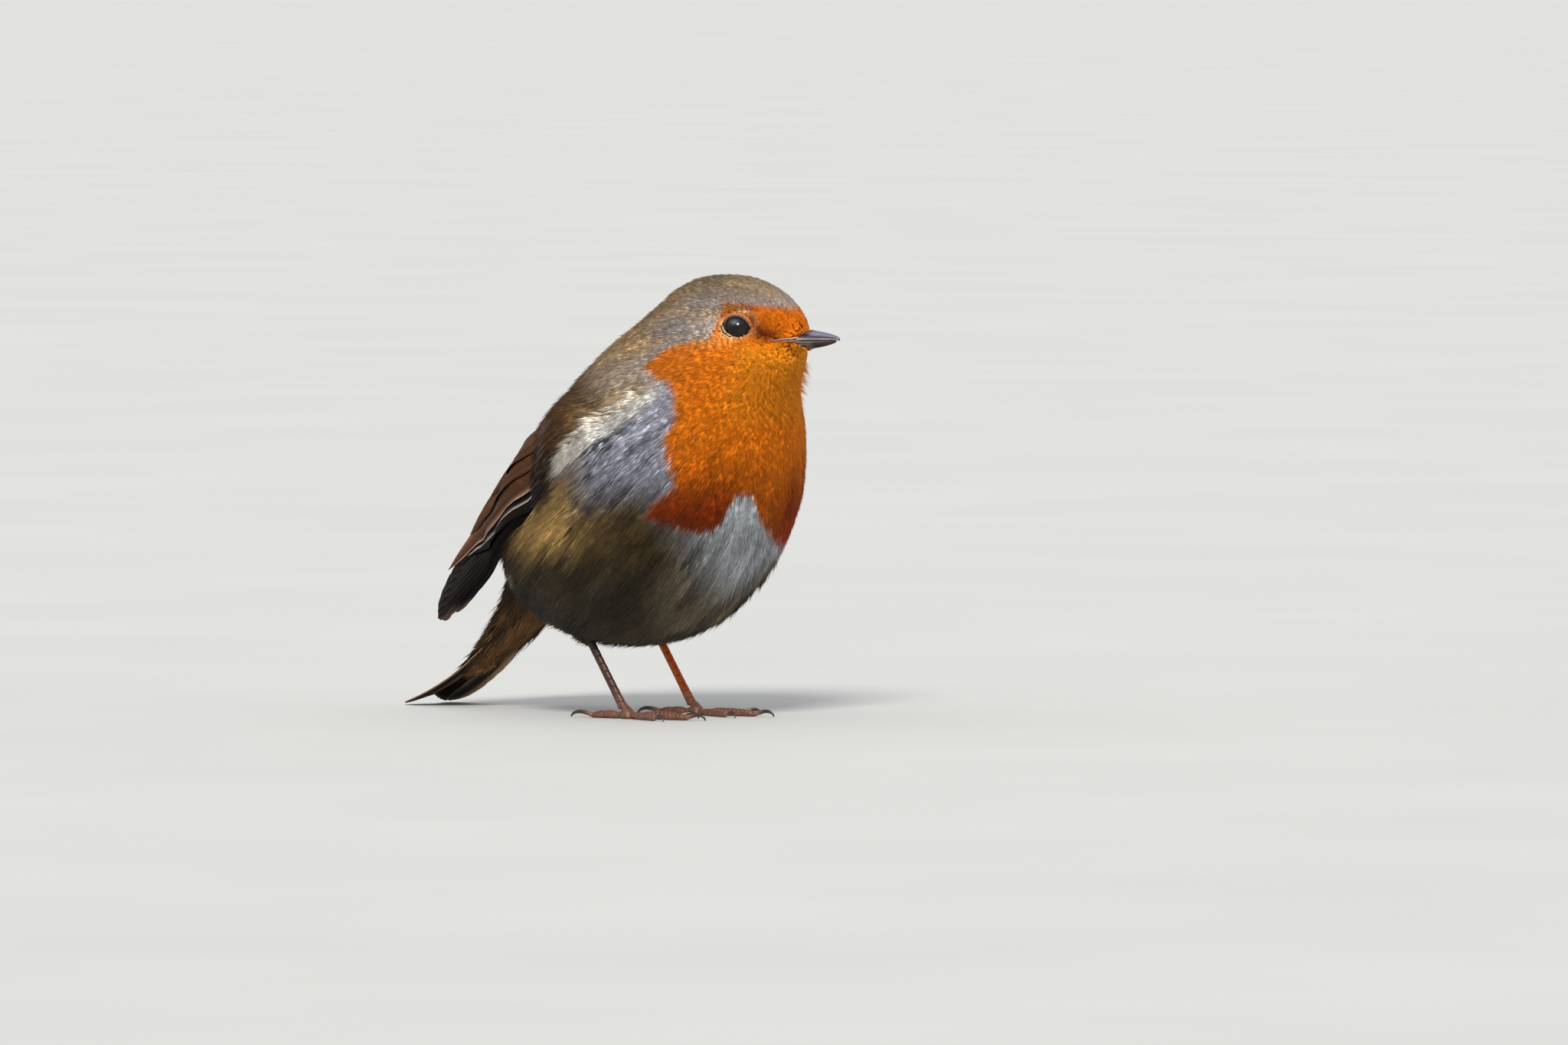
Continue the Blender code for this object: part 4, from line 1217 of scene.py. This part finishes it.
def bill_half(upper):
    """(points, faces, colours) of half the bill: a ridged roof over, or a keel under, the gape."""
    t = np.linspace(0, 1, 40)[:, None]
    share = np.cos(np.linspace(0, np.pi, 24))[None]
    beside = np.abs(share)
    taper, full = (1 - t**1.6) ** 0.8, (1 - t**2.4) ** 0.8
    half_width = 0.24 + 2.22 * (0.75 * taper + 0.25 * full)
    x = BILL_BASE_X + (BILL_LENGTH if upper else BILL_LENGTH - 0.9) * t
    gape = GAPE_Z + 0.30 * t**2
    culmen = bump(share, 0, 0.30) + 0 * t
    edge = eased(beside, 0.90, 0.97) + 0 * t
    if upper:
        height = 0.36 + 1.95 * (0.35 * taper + 0.65 * full)
        arch = np.clip(1 - beside**1.9, 0, 1) ** 0.85
        ridge = 0.16 * bump(share, 0, 0.16) * taper
        nostril = bump(x, 39.6, 0.8) * bump(beside, 0.62, 0.10)
        groove = 0.10 * bump(beside, 0.62, 0.16) * (1 - eased(x, 39, 43))
        lip = 0.10 * bump(beside, 0.93, 0.05) * taper
        pinch = 1 - 0.30 * nostril - groove + 0.35 * lip
        y = share * half_width * pinch
        z = gape + 0.17 + height * arch * pinch + ridge - 0.34 * eased(t, 0.92, 1.0) * (1 - arch)
        # painted highlight: the upper mandible's sides are a lavender-grey sheen over dark horn, while the
        # ridge stays dark
        colour = mixed((0.150, 0.145, 0.200), (0.035, 0.030, 0.038), culmen)
        colour = mixed(colour, (0.018, 0.011, 0.013), 0.92 * bump(beside, 0.84, 0.14) + 0 * t)
        colour = mixed(colour, (0.014, 0.011, 0.012), np.clip(nostril * 1.3, 0, 1))
        rim = edge * (0.25 + 0.6 * eased(t, 0.62, 0.85) + 0.6 * (1 - eased(t, 0.45, 0.60)))
        colour = mixed(colour, (0.420, 0.290, 0.200), 0.8 * np.clip(rim, 0, 1))
    else:
        height = 0.34 + 1.75 * (0.6 * taper + 0.4 * full)
        y = share * half_width * 0.95
        z = gape - 0.16 - height * np.clip(1 - beside**1.7, 0, 1) ** 0.9
        colour = mixed((0.020, 0.016, 0.018), (0.012, 0.010, 0.012), culmen)
        colour = mixed(colour, (0.170, 0.140, 0.130), 0.6 * (1 - eased(x, 39.5, 42.5)))
        colour = mixed(colour, (0.300, 0.250, 0.240), 0.75 * edge * (1 - 0.6 * t))
    inner_share = np.linspace(-1, 1, 9)[None, 1:-1]
    tongue = 0.17 * np.sqrt(1 - inner_share**2)
    inner_y = inner_share * half_width * 0.93
    inner_z = gape + (1 if upper else -1) * (0.16 - tongue)
    halves = [(x, y, z), (x, inner_y, inner_z)]
    rings = np.concatenate([np.stack(np.broadcast_arrays(*half), axis=-1) for half in halves], axis=1)
    # painted shade: the inside of the mouth is dark red, as the shade in the narrow gape
    mouth = np.broadcast_to((0.10, 0.016, 0.012), (*inner_y.shape, 3))
    colours = np.concatenate([colour, mouth], axis=1).reshape(-1, 3)
    points, faces = lofted(rings)
    return turned(points), faces, np.clip(capped(colours), 0, 0.95)


def capped(colours):
    """A lofted body's colours, with those of its two end points."""
    return np.concatenate([colours, colours[:1], colours[-1:]])


def gape_corner(sign, upper, outer):
    """The soft rim of the mouth, which runs back from the bill's side over the cheek."""
    t = np.linspace(0, 1, 26)[:, None]
    middle = np.hstack([39.6 - 6.8 * t, sign * (1.95 + 3.9 * t**0.8), GAPE_Z + 0.04 - 0.1 * t])
    middle, normals = outer.nearest(turned(middle))
    rise = unit(np.cross(unit(np.gradient(middle, axis=0)), normals))
    rise *= np.sign(rise[:, 2:])
    away = 1 if upper else -1
    middle = middle + rise * 0.30 * away * (1 - 0.75 * t) - normals * 0.10
    radius = 0.17 * (0.05 + 0.95 * np.sin(np.pi * np.clip(0.5 + 0.5 * t, 0, 1)) ** 0.7)
    points, faces = tube(middle, normals, rise, radius * 1.3, radius, 10)
    # painted shade: the rim's side that faces into the mouth is near-black
    inside = np.broadcast_to(eased(-away * np.sin(circle(10)), 0.1, 0.7), (26, 10))
    pale = mixed((0.300, 0.130, 0.050), (0.400, 0.300, 0.240), (1 - t) ** 1.5)
    return points, faces, capped(mixed(pale, (0.050, 0.010, 0.008), inside).reshape(-1, 3))


def make_bill(outer, material):
    for name in ("upper", "lower"):
        upper = name == "upper"
        parts = [bill_half(upper)] + [gape_corner(sign, upper, outer) for sign in SIDES.values()]
        points, faces = joined([part[:2] for part in parts])
        made = new_mesh(f"beak_{name}", points, faces, np.concatenate([part[2] for part in parts]))
        settle(made, [material], [f"bill_{name}"])


FOOT_YAW = math.radians(18)
Toe = namedtuple("Toe", "bearing length claw radius")
TOE_SHAPES = {
    "hallux": Toe(182, 8.6, 5.6, 0.85),
    "inner": Toe(30, 9.6, 4.0, 0.75),
    "middle": Toe(0, 13.6, 4.6, 0.80),
    "outer": Toe(-30, 10.8, 4.0, 0.75),
}
FOOT_PLACE = np.array([-0.9, 10.0, 0.0])


def make_claw(side, name, material):
    """A claw, deeper than wide, that arches forward and down to the floor."""
    toe = TOE_SHAPES[name]
    yaw = FOOT_YAW + math.radians(toe.bearing) * SIDES[side]
    forward = np.array([math.cos(yaw), math.sin(yaw), 0])
    across = np.array([-forward[1], forward[0], 0])
    up = np.array([0, 0, 1.0])
    t = np.linspace(-0.12, 1, 22)[:, None, None]
    angle = circle(14)[None, :, None]
    reach = toe.length + toe.claw * np.sin(np.clip(t, -0.2, 1) * np.pi / 2) * 0.94
    height = toe.radius * 0.74 + 0.78 * np.sin(np.pi * np.clip(t * 1.15, 0, 1)) - 0.46 * t
    radius = toe.radius * 0.62 * np.clip(1 - t, 0, 1) ** 0.75 + 0.05
    keel = 1 - 0.25 * np.clip(-np.sin(angle), 0, 1)
    rings = FOOT_PLACE * (1, SIDES[side], 1) + forward * reach + up * height
    rings = rings + across * np.cos(angle) * radius * 0.62 * keel
    rings = rings + unit(up + forward * 0.9 * t) * np.sin(angle) * radius
    rings[..., 2] = np.maximum(rings[..., 2], 0.02)
    points, faces = lofted(rings)
    darker = np.broadcast_to(eased(t, -0.05, 0.35)[..., 0], rings.shape[:2])
    colours = mixed((0.200, 0.105, 0.070), (0.030, 0.020, 0.017), darker).reshape(-1, 3)
    made = new_mesh(f"nail_{side}_{name}", points, faces, capped(colours))
    settle(made, [material], [f"claw_{side}_{name}"])


# ---- flight feathers


class Sheet:
    """A smooth surface over a flat plane, by thin-plate splines through points over it."""

    sign = 1
    softness = 0.6

    def __init__(self, origin, along, across, plane, height):
        self.origin, self.along, self.across, self.plane = origin, along, across, plane
        self.out = np.cross(along, across)
        count = len(plane)
        edge = np.hstack([np.ones((count, 1)), plane])
        left = np.zeros((count + 3, count + 3))
        left[:count, :count] = self.bend(plane) + self.softness * np.eye(count)
        left[:count, count:], left[count:, :count] = edge, edge.T
        self.weights = np.linalg.solve(left, np.concatenate([height, np.zeros(3)]))

    def bend(self, plane):
        apart = np.linalg.norm(plane[:, None] - self.plane[None], axis=2)
        return apart**2 * np.log(apart + 1e-9)

    def height(self, plane):
        flat = plane.reshape(-1, 2)
        edge = np.hstack([np.ones((len(flat), 1)), flat])
        found = self.bend(flat) @ self.weights[:-3] + edge @ self.weights[-3:]
        return found.reshape(plane.shape[:-1])

    def place(self, plane, height):
        """Places at a height over the surface, along its normals."""
        step = 0.5
        rise = self.height(plane)[..., None]
        slopes = [(self.height(plane + step * axis)[..., None] - rise) / step for axis in np.eye(2)]
        normal = unit(self.out - slopes[0] * self.along - slopes[1] * self.across)
        base = self.origin + plane[..., :1] * self.along + plane[..., 1:] * self.across
        return base + rise * self.out + normal * height[..., None]


def facing_points(names, direction):
    """The points of CAD nodes where their surface faces that way."""
    shape = merged_nodes(names, 0.0)
    found = [tuple(v.co) for v in shape.verts if v.normal.dot(Vector(direction)) > 0.25]
    shape.free()
    return from_frame(found)


class WingPlane(Sheet):
    """The outer surface of a folded wing, as places over its own plane."""

    least = 10.6  # how far out the wing's free rear edge stays

    def __init__(self, side):
        self.sign = SIDES[side]
        plates = [f"wing_{side}_{part}" for part in ("coverts", "tertials", "primaries")]
        points = slimmed(facing_points(plates, (0, self.sign, 0)))
        plane = np.stack(wing_plane(points), axis=1)
        super().__init__(WING_BEND, WING_ALONG, WING_ACROSS, plane, points[:, 1] * self.sign)

    def height(self, plane):
        over = (super().height(plane) - self.least) * 1.1
        return self.least + np.log1p(np.exp(np.clip(over, -30, 30))) / 1.1

    def place(self, plane, height):
        return super().place(plane, height) * (1, self.sign, 1)


class TailPlane(Sheet):
    """The upper surface of the tail, by the length along its middle and the place across."""

    def __init__(self):
        points = facing_points(["tail"], (0, 0, 1))
        super().__init__(np.zeros(3), *np.eye(3)[:2], points[:, :2], points[:, 2])
        front = points[:, 0].max()
        self.x = np.linspace(front + 12, points[:, 0].min() - 1, 200)
        rise = self.height(np.stack([self.x, 0 * self.x], axis=1))
        reach = np.concatenate([[0], np.cumsum(np.hypot(np.diff(self.x), np.diff(rise)))])
        self.reach = reach - np.interp(-front, -self.x, reach)

    def place(self, plane, height):
        x = np.interp(plane[..., 0], self.reach, self.x)
        points = super().place(np.stack([x, plane[..., 1]], axis=-1), height)
        points[..., 2] = np.maximum(points[..., 2], 0.03)
        return points


Finish = namedtuple("Finish", "web outer fringe tip fringe_from", defaults=[-1.0])
# places of the root and tip, how far the middle bows, the half widths, and the heights
Feather = namedtuple("Feather", "root tip bow outer inner level tip_level finish pointed")
PRIMARY_TIPS = [
    (64.4, 6.6), (67.0, 6.1), (69.6, 5.3), (72.2, 4.4), (74.6, 3.4),
    (76.4, 2.4), (77.2, 1.4), (76.0, 0.4), (70.6, -1.5),
]
TAIL_TIPS = [(37.6, 0.9), (38.4, 2.3), (39.2, 3.6), (39.8, 4.8), (40.0, 5.9), (39.4, 6.7)]
VANE_ROWS = 26
SHAFT = 0.13  # half its width

# The flight feathers' near-black is partly their own dark brown and partly painted shade; the dark fringes of
# the primaries and secondaries are painted shade too.
BLACK = (0.0040, 0.0032, 0.0034)
DULL_BLACK = (0.0045, 0.0035, 0.0035)
PRIMARY = Finish(BLACK, (0.0050, 0.0038, 0.0038), (0.012, 0.008, 0.006), (0.030, 0.017, 0.012))
LEADING = Finish(BLACK, (0.0050, 0.0038, 0.0038), (0.170, 0.110, 0.080), (0.080, 0.050, 0.036), 0.8)
SECONDARY = Finish(DULL_BLACK, (0.0050, 0.0038, 0.0036), (0.012, 0.009, 0.007), (0.010, 0.007, 0.005))
EDGED = Finish(DULL_BLACK, (0.0060, 0.0045, 0.0042), (0.420, 0.340, 0.300), (0.050, 0.035, 0.028))
LONG_TERTIAL = Finish((0.058, 0.025, 0.011), (0.074, 0.032, 0.015), (0.3, 0.2, 0.145), (0.09, 0.05, 0.033))
# painted shade: the tertials' dark fringe stands for the shadow line under the next tertial's edge
TERTIAL = Finish((0.074, 0.031, 0.013), (0.054, 0.022, 0.009), (0.012, 0.006, 0.003), (0.090, 0.046, 0.026))
GREATER = Finish((0.034, 0.017, 0.009), (0.050, 0.026, 0.014), (0.095, 0.052, 0.028), (0.110, 0.060, 0.034))
ALULA = Finish((0.0055, 0.0045, 0.0048), (0.008, 0.0065, 0.0068), (0.03, 0.021, 0.016), (0.016, 0.011, 0.009))
TAIL = Finish((0.006, 0.0045, 0.004), (0.009, 0.0065, 0.005), (0.045, 0.028, 0.017), (0.030, 0.019, 0.012))
TAIL_SIDE = Finish((0.012, 0.008, 0.006), (0.3, 0.185, 0.10), (0.48, 0.32, 0.19), (0.2, 0.125, 0.07))


def vane(feather, plane, patch):
    """A closed vane with its shaft: (points, faces, colours, bake map, own map)."""
    root, tip = np.array(feather.root, float), np.array(feather.tip, float)
    reach = np.linalg.norm(tip - root)
    along = 1 - (1 - np.linspace(0, 1, VANE_ROWS)) ** 1.35
    across = np.array([root[1] - tip[1], tip[0] - root[0]]) / reach
    bow = feather.bow * 4 * along * (1 - along)
    middle = root + (tip - root) * along[:, None] + across * bow[:, None]
    heading = unit(np.gradient(middle, axis=0))
    aside = np.stack([-heading[:, 1], heading[:, 0]], axis=1)

    # half widths, with ragged edges that are split here and there
    grown = 0.16 + 0.84 * eased(along, 0, 0.22)
    if feather.pointed:
        end = np.clip((along - 0.62) / 0.38, 0, 1)
        outer, inner = grown * (1 - end) ** 0.6, grown * (1 - end) ** 0.8
    else:
        end = np.clip((along - 0.84) / 0.16, 0, 1)
        outer, inner = grown * (1 - end**2.4) ** 0.5, grown * (1 - end**2.2) ** 0.5
    outer, inner = outer * feather.outer, inner * feather.inner
    ragged = 1 + rng.normal(0, 0.018, (2, VANE_ROWS))
    splits = rng.integers(5, VANE_ROWS - 3, (2, 2))
    for edge in range(2):
        ragged[edge, splits[edge]] -= 0.10
    shaft = SHAFT * (1 - 0.75 * along) * np.clip(outer / 0.3, -1, 1)
    columns = [-outer * ragged[0], -outer * 0.91, -outer * 0.5, -shaft, 0 * shaft]
    columns += [shaft, inner * 0.5, inner * 0.91, inner * ragged[1]]
    offsets = np.stack(columns, axis=1)
    share = np.array([-1, -0.91, -0.5, -0.05, 0, 0.05, 0.5, 0.91, 1.0])

    # the upper and lower faces, over the plane
    flat = middle[:, None] + aside[:, None] * offsets[..., None]
    sag = 0.03 * share**2 + 0.13 * np.maximum(share, 0)
    ridge = 0.07 * (share == 0)
    ripple = 0.012 * np.sin(along * 9 + feather.level * 40)[:, None] * np.abs(share)
    level = feather.level + (feather.tip_level - feather.level) * eased(along, 0.15, 0.85)[:, None]
    top = level - sag + ridge + ripple
    thick = 0.11 - 0.06 * np.abs(share) + ridge
    points = np.concatenate([plane.place(flat, lift).reshape(-1, 3) for lift in (top, top - thick)])
    width = len(share)
    count = VANE_ROWS * width
    numbers = np.arange(count).reshape(VANE_ROWS, width)
    quads = ringed(VANE_ROWS, width).reshape(VANE_ROWS, width, 4)[:-1, :-1].reshape(-1, 4)
    rim = np.concatenate([numbers[0], numbers[1:, -1], numbers[-1, -2::-1], numbers[-2:0:-1, 0]])
    following = np.roll(rim, -1)
    side = np.stack([rim, rim + count, following + count, following], axis=1)
    faces = np.concatenate([quads, quads[:, ::-1] + count, side])

    finish = feather.finish
    share, far = np.broadcast_arrays(share, along[:, None])
    colours = mixed(finish.web, finish.outer, 0.85 * eased(-share, 0.02, 0.5))
    fringe = np.where(share < 0, 1, 0.40) * eased(np.abs(share), 0.84, 0.97)
    fringe = fringe * eased(far, finish.fringe_from, finish.fringe_from + 0.12)
    colours = mixed(colours, finish.fringe, fringe)
    colours = mixed(colours, finish.tip, 0.8 * eased(far, 0.93, 1.0))
    colours = mixed(colours, np.array(finish.web) * 0.55, 0.9 * (np.abs(share) < 0.06))
    colours = colours * np.exp(rng.normal(0, 0.06))
    own = np.stack([offsets, far * reach], axis=-1)
    baked = np.array(patch[:2]) + np.stack([0.5 + 0.42 * share, far], axis=-1) * patch[2:]
    both = [np.concatenate([v.reshape(count, -1)] * 2) for v in (colours, baked, own)]
    return points, faces, *both


def make_vanes(name, feathers, plane, material, replaced):
    """All the vanes of one wing or of the tail as one piece, lowest first."""
    columns = math.ceil(math.sqrt(len(feathers)))
    rows = math.ceil(len(feathers) / columns)
    found = []
    for number, feather in enumerate(feathers):
        patch = (number % columns / columns, number // columns / rows, 0.96 / columns, 0.96 / rows)
        found.append(vane(feather, plane, patch))
    points, faces = joined([(part[0], [part[1]]) for part in found])
    faces = np.concatenate(faces)[:, :: plane.sign]
    colours, baked, own = (np.concatenate([part[kind] for part in found]) for kind in (2, 3, 4))
    made = new_mesh(name, points, [faces], colours, {"OFBake": baked, "Vane": own})
    settle(made, [material], replaced)


def wing_feathers():
    """The folded wing's feathers from the deepest one out: places are (s, t) in its plane."""
    made = []

    def add(root, tip, bow, outer, inner, levels, finish, pointed=False):
        made.append(Feather(root, tip, bow, outer, inner, *levels, finish, pointed))

    for number in range(8, -1, -1):
        root = (20 + 0.5 * number, 2.9 - 0.6 * number)
        levels = (-1.38 - 0.08 * number, -0.58 - 0.06 * number)
        outer, finish = 1.5 if number == 8 else 2.1, LEADING if number > 5 else PRIMARY
        add(root, PRIMARY_TIPS[number], -0.5, outer, 3.9, levels, finish)
    for number in range(6):
        root, tip = (18, -2.4 + 0.44 * number), (52 + 1.6 * number, 3.6 + 0.62 * number)
        if number < 5:
            add(root, tip, -0.2, 1.4, 4.0, (-1.3 + 0.08 * number, -0.44 + 0.07 * number), SECONDARY)
        else:
            add(root, tip, -0.2, 1.4, 4.0, (-0.74, 0.02), EDGED)
    add((14, 0.8), (67.5, 7.3), 1.5, 1.9, 6.2, (-0.40, 0.36), LONG_TERTIAL, True)
    add((12, 5.2), (58.0, 10.2), 1.7, 1.9, 5.6, (-0.12, 0.56), TERTIAL, True)
    add((11, 9.3), (48.0, 13.6), 1.2, 2.0, 3.8, (0.12, 0.74), TERTIAL, True)
    for number in range(4):
        root, tip = (10.5, -2.4 + 0.5 * number), (26.5 - 1.5 * number, -2.0 + 0.8 * number)
        add(root, tip, 0.2, 1.0, 1.9, (-0.9 + 0.1 * number, -0.45 + 0.1 * number), ALULA)
    for number in range(6):
        root, tip = (8.5 - 0.2 * number, -0.4 + 1.7 * number), (25.0 - 0.7 * number, 1.4 + 1.7 * number)
        add(root, tip, 0.3, 1.5, 2.4, (-0.6 + 0.1 * number, -0.05 + 0.08 * number), GREATER)
    return made


def tail_feathers():
    """Six pairs: the outermost lies deepest and the middle pair on top."""
    made = []
    level = -0.92
    for number in range(5, -1, -1):
        outer, finish = (2.1 if number else 3.0), TAIL_SIDE if number == 5 else TAIL
        end, aside = TAIL_TIPS[number]
        for sign in (1, -1):
            level += 0.07
            root, tip = (-6.0, sign * (0.4 + 0.45 * number)), (end, sign * aside)
            widths = -sign * outer, -sign * 3.6
            made.append(Feather(root, tip, -sign * 0.2, *widths, level, level, finish, False))
    return made


# ---- camera and light


def make_camera():
    target = Vector(to_frame([17.25, 17.25, 40.4]))
    azimuth, elevation, distance, view_width = math.radians(45), math.radians(2.5), 3.0, 0.325
    level = math.cos(elevation)
    back = Vector((math.sin(azimuth) * level, -math.cos(azimuth) * level, math.sin(elevation)))
    data = bpy.data.cameras.new("camera")
    data.sensor_width = 36.0
    data.lens = data.sensor_width * distance / view_width
    camera = linked("camera", data)
    camera.location = target + back * distance
    camera.rotation_euler = back.to_track_quat("Z", "Y").to_euler()
    bpy.context.scene.camera = camera


def sun(name, direction, strength, spread_angle, colour):
    data = bpy.data.lights.new(name, "SUN")
    data.energy = strength
    data.angle = math.radians(spread_angle)
    data.color = colour
    linked(name, data).rotation_euler = Vector(direction).to_track_quat("Z", "Y").to_euler()


def make_studio():
    """A pale floor under a soft sky, with a broad lamp above, a little to the camera's left."""
    world = bpy.data.worlds.new("world")
    world.use_nodes = True
    back = world.node_tree.nodes["Background"]
    back.inputs["Color"].default_value = (0.96, 0.98, 1.0, 1)
    back.inputs["Strength"].default_value = 0.80
    bpy.context.scene.world = world
    sun("key", (0.52, -0.70, 0.74), 3.5, 16, (1.0, 0.975, 0.93))
    bpy.context.scene.view_settings.view_transform = "Standard"
    mesh = bpy.data.meshes.new("floor")
    shape = bmesh.new()
    bmesh.ops.create_circle(shape, cap_ends=True, segments=96, radius=30.0)
    shape.to_mesh(mesh)
    shape.free()
    material, tree, shader = new_material("floor_paint", (0.50, 0.50, 0.49), 0.8)
    mottle = spread(tree, noise(tree, 9, 2.0), 0, 1)
    tone = blend(tree, "MIX", mottle, (0.485, 0.485, 0.475, 1), (0.505, 0.505, 0.495, 1))
    tree.links.new(tone, shader.inputs["Base Color"])
    mesh.materials.append(material)
    linked("floor", mesh)


# ---- all of it


def main():
    make_camera()
    make_studio()
    plumage = plumage_material()
    vanes, horn, wet = vane_material(), horn_material(), eye_material()
    head_points, _, _ = fused(["head"], GROWN, 0.7, 4)
    eyes = [Eye(side, head_points) for side in SIDES]
    plugs = [eye.plug() for eye in eyes]
    points, normals, faces = fused(FLESH + WING_BASES, GROWN, 0.7, 8, [muzzle(), tail_coverts(), *plugs])
    points = slimmed(points)
    outer = Surface(points, faces)
    wing_points, _, wing_faces = fused(WING_BASES, 0.0, 0.7, 1)
    wing_bases = Surface(slimmed(wing_points), wing_faces)
    make_skin(points, normals, faces, eyes, [plumage, leg_material(), lid_material()])
    bill_points, _, bill_faces = fused(["bill_upper", "bill_lower"], 0.1, 0.25, 0)
    tail_points, _, tail_faces = fused(["tail"], 0.15, 0.4, 0)
    flow = Surface(*joined([(points, faces), (tail_points, tail_faces)]))
    make_coat(outer, flow, wing_bases, Surface(bill_points, bill_faces), plumage)
    make_plumes(outer, plumage)
    make_bill_feathers(plumage)
    for eye in eyes:
        make_eye_ring(outer, eye, plumage)
    for eye in eyes:
        make_eye(eye, wet)
    make_bill(outer, horn)
    for side in SIDES:
        for name in TOE_SHAPES:
            make_claw(side, name, horn)
        replaced = [f"wing_{side}_tertials", f"wing_{side}_primaries"]
        make_vanes(f"wing_{side}", wing_feathers(), WingPlane(side), vanes, replaced)
    make_vanes("tail_feathers", tail_feathers(), TailPlane(), vanes, ["tail"])


main()
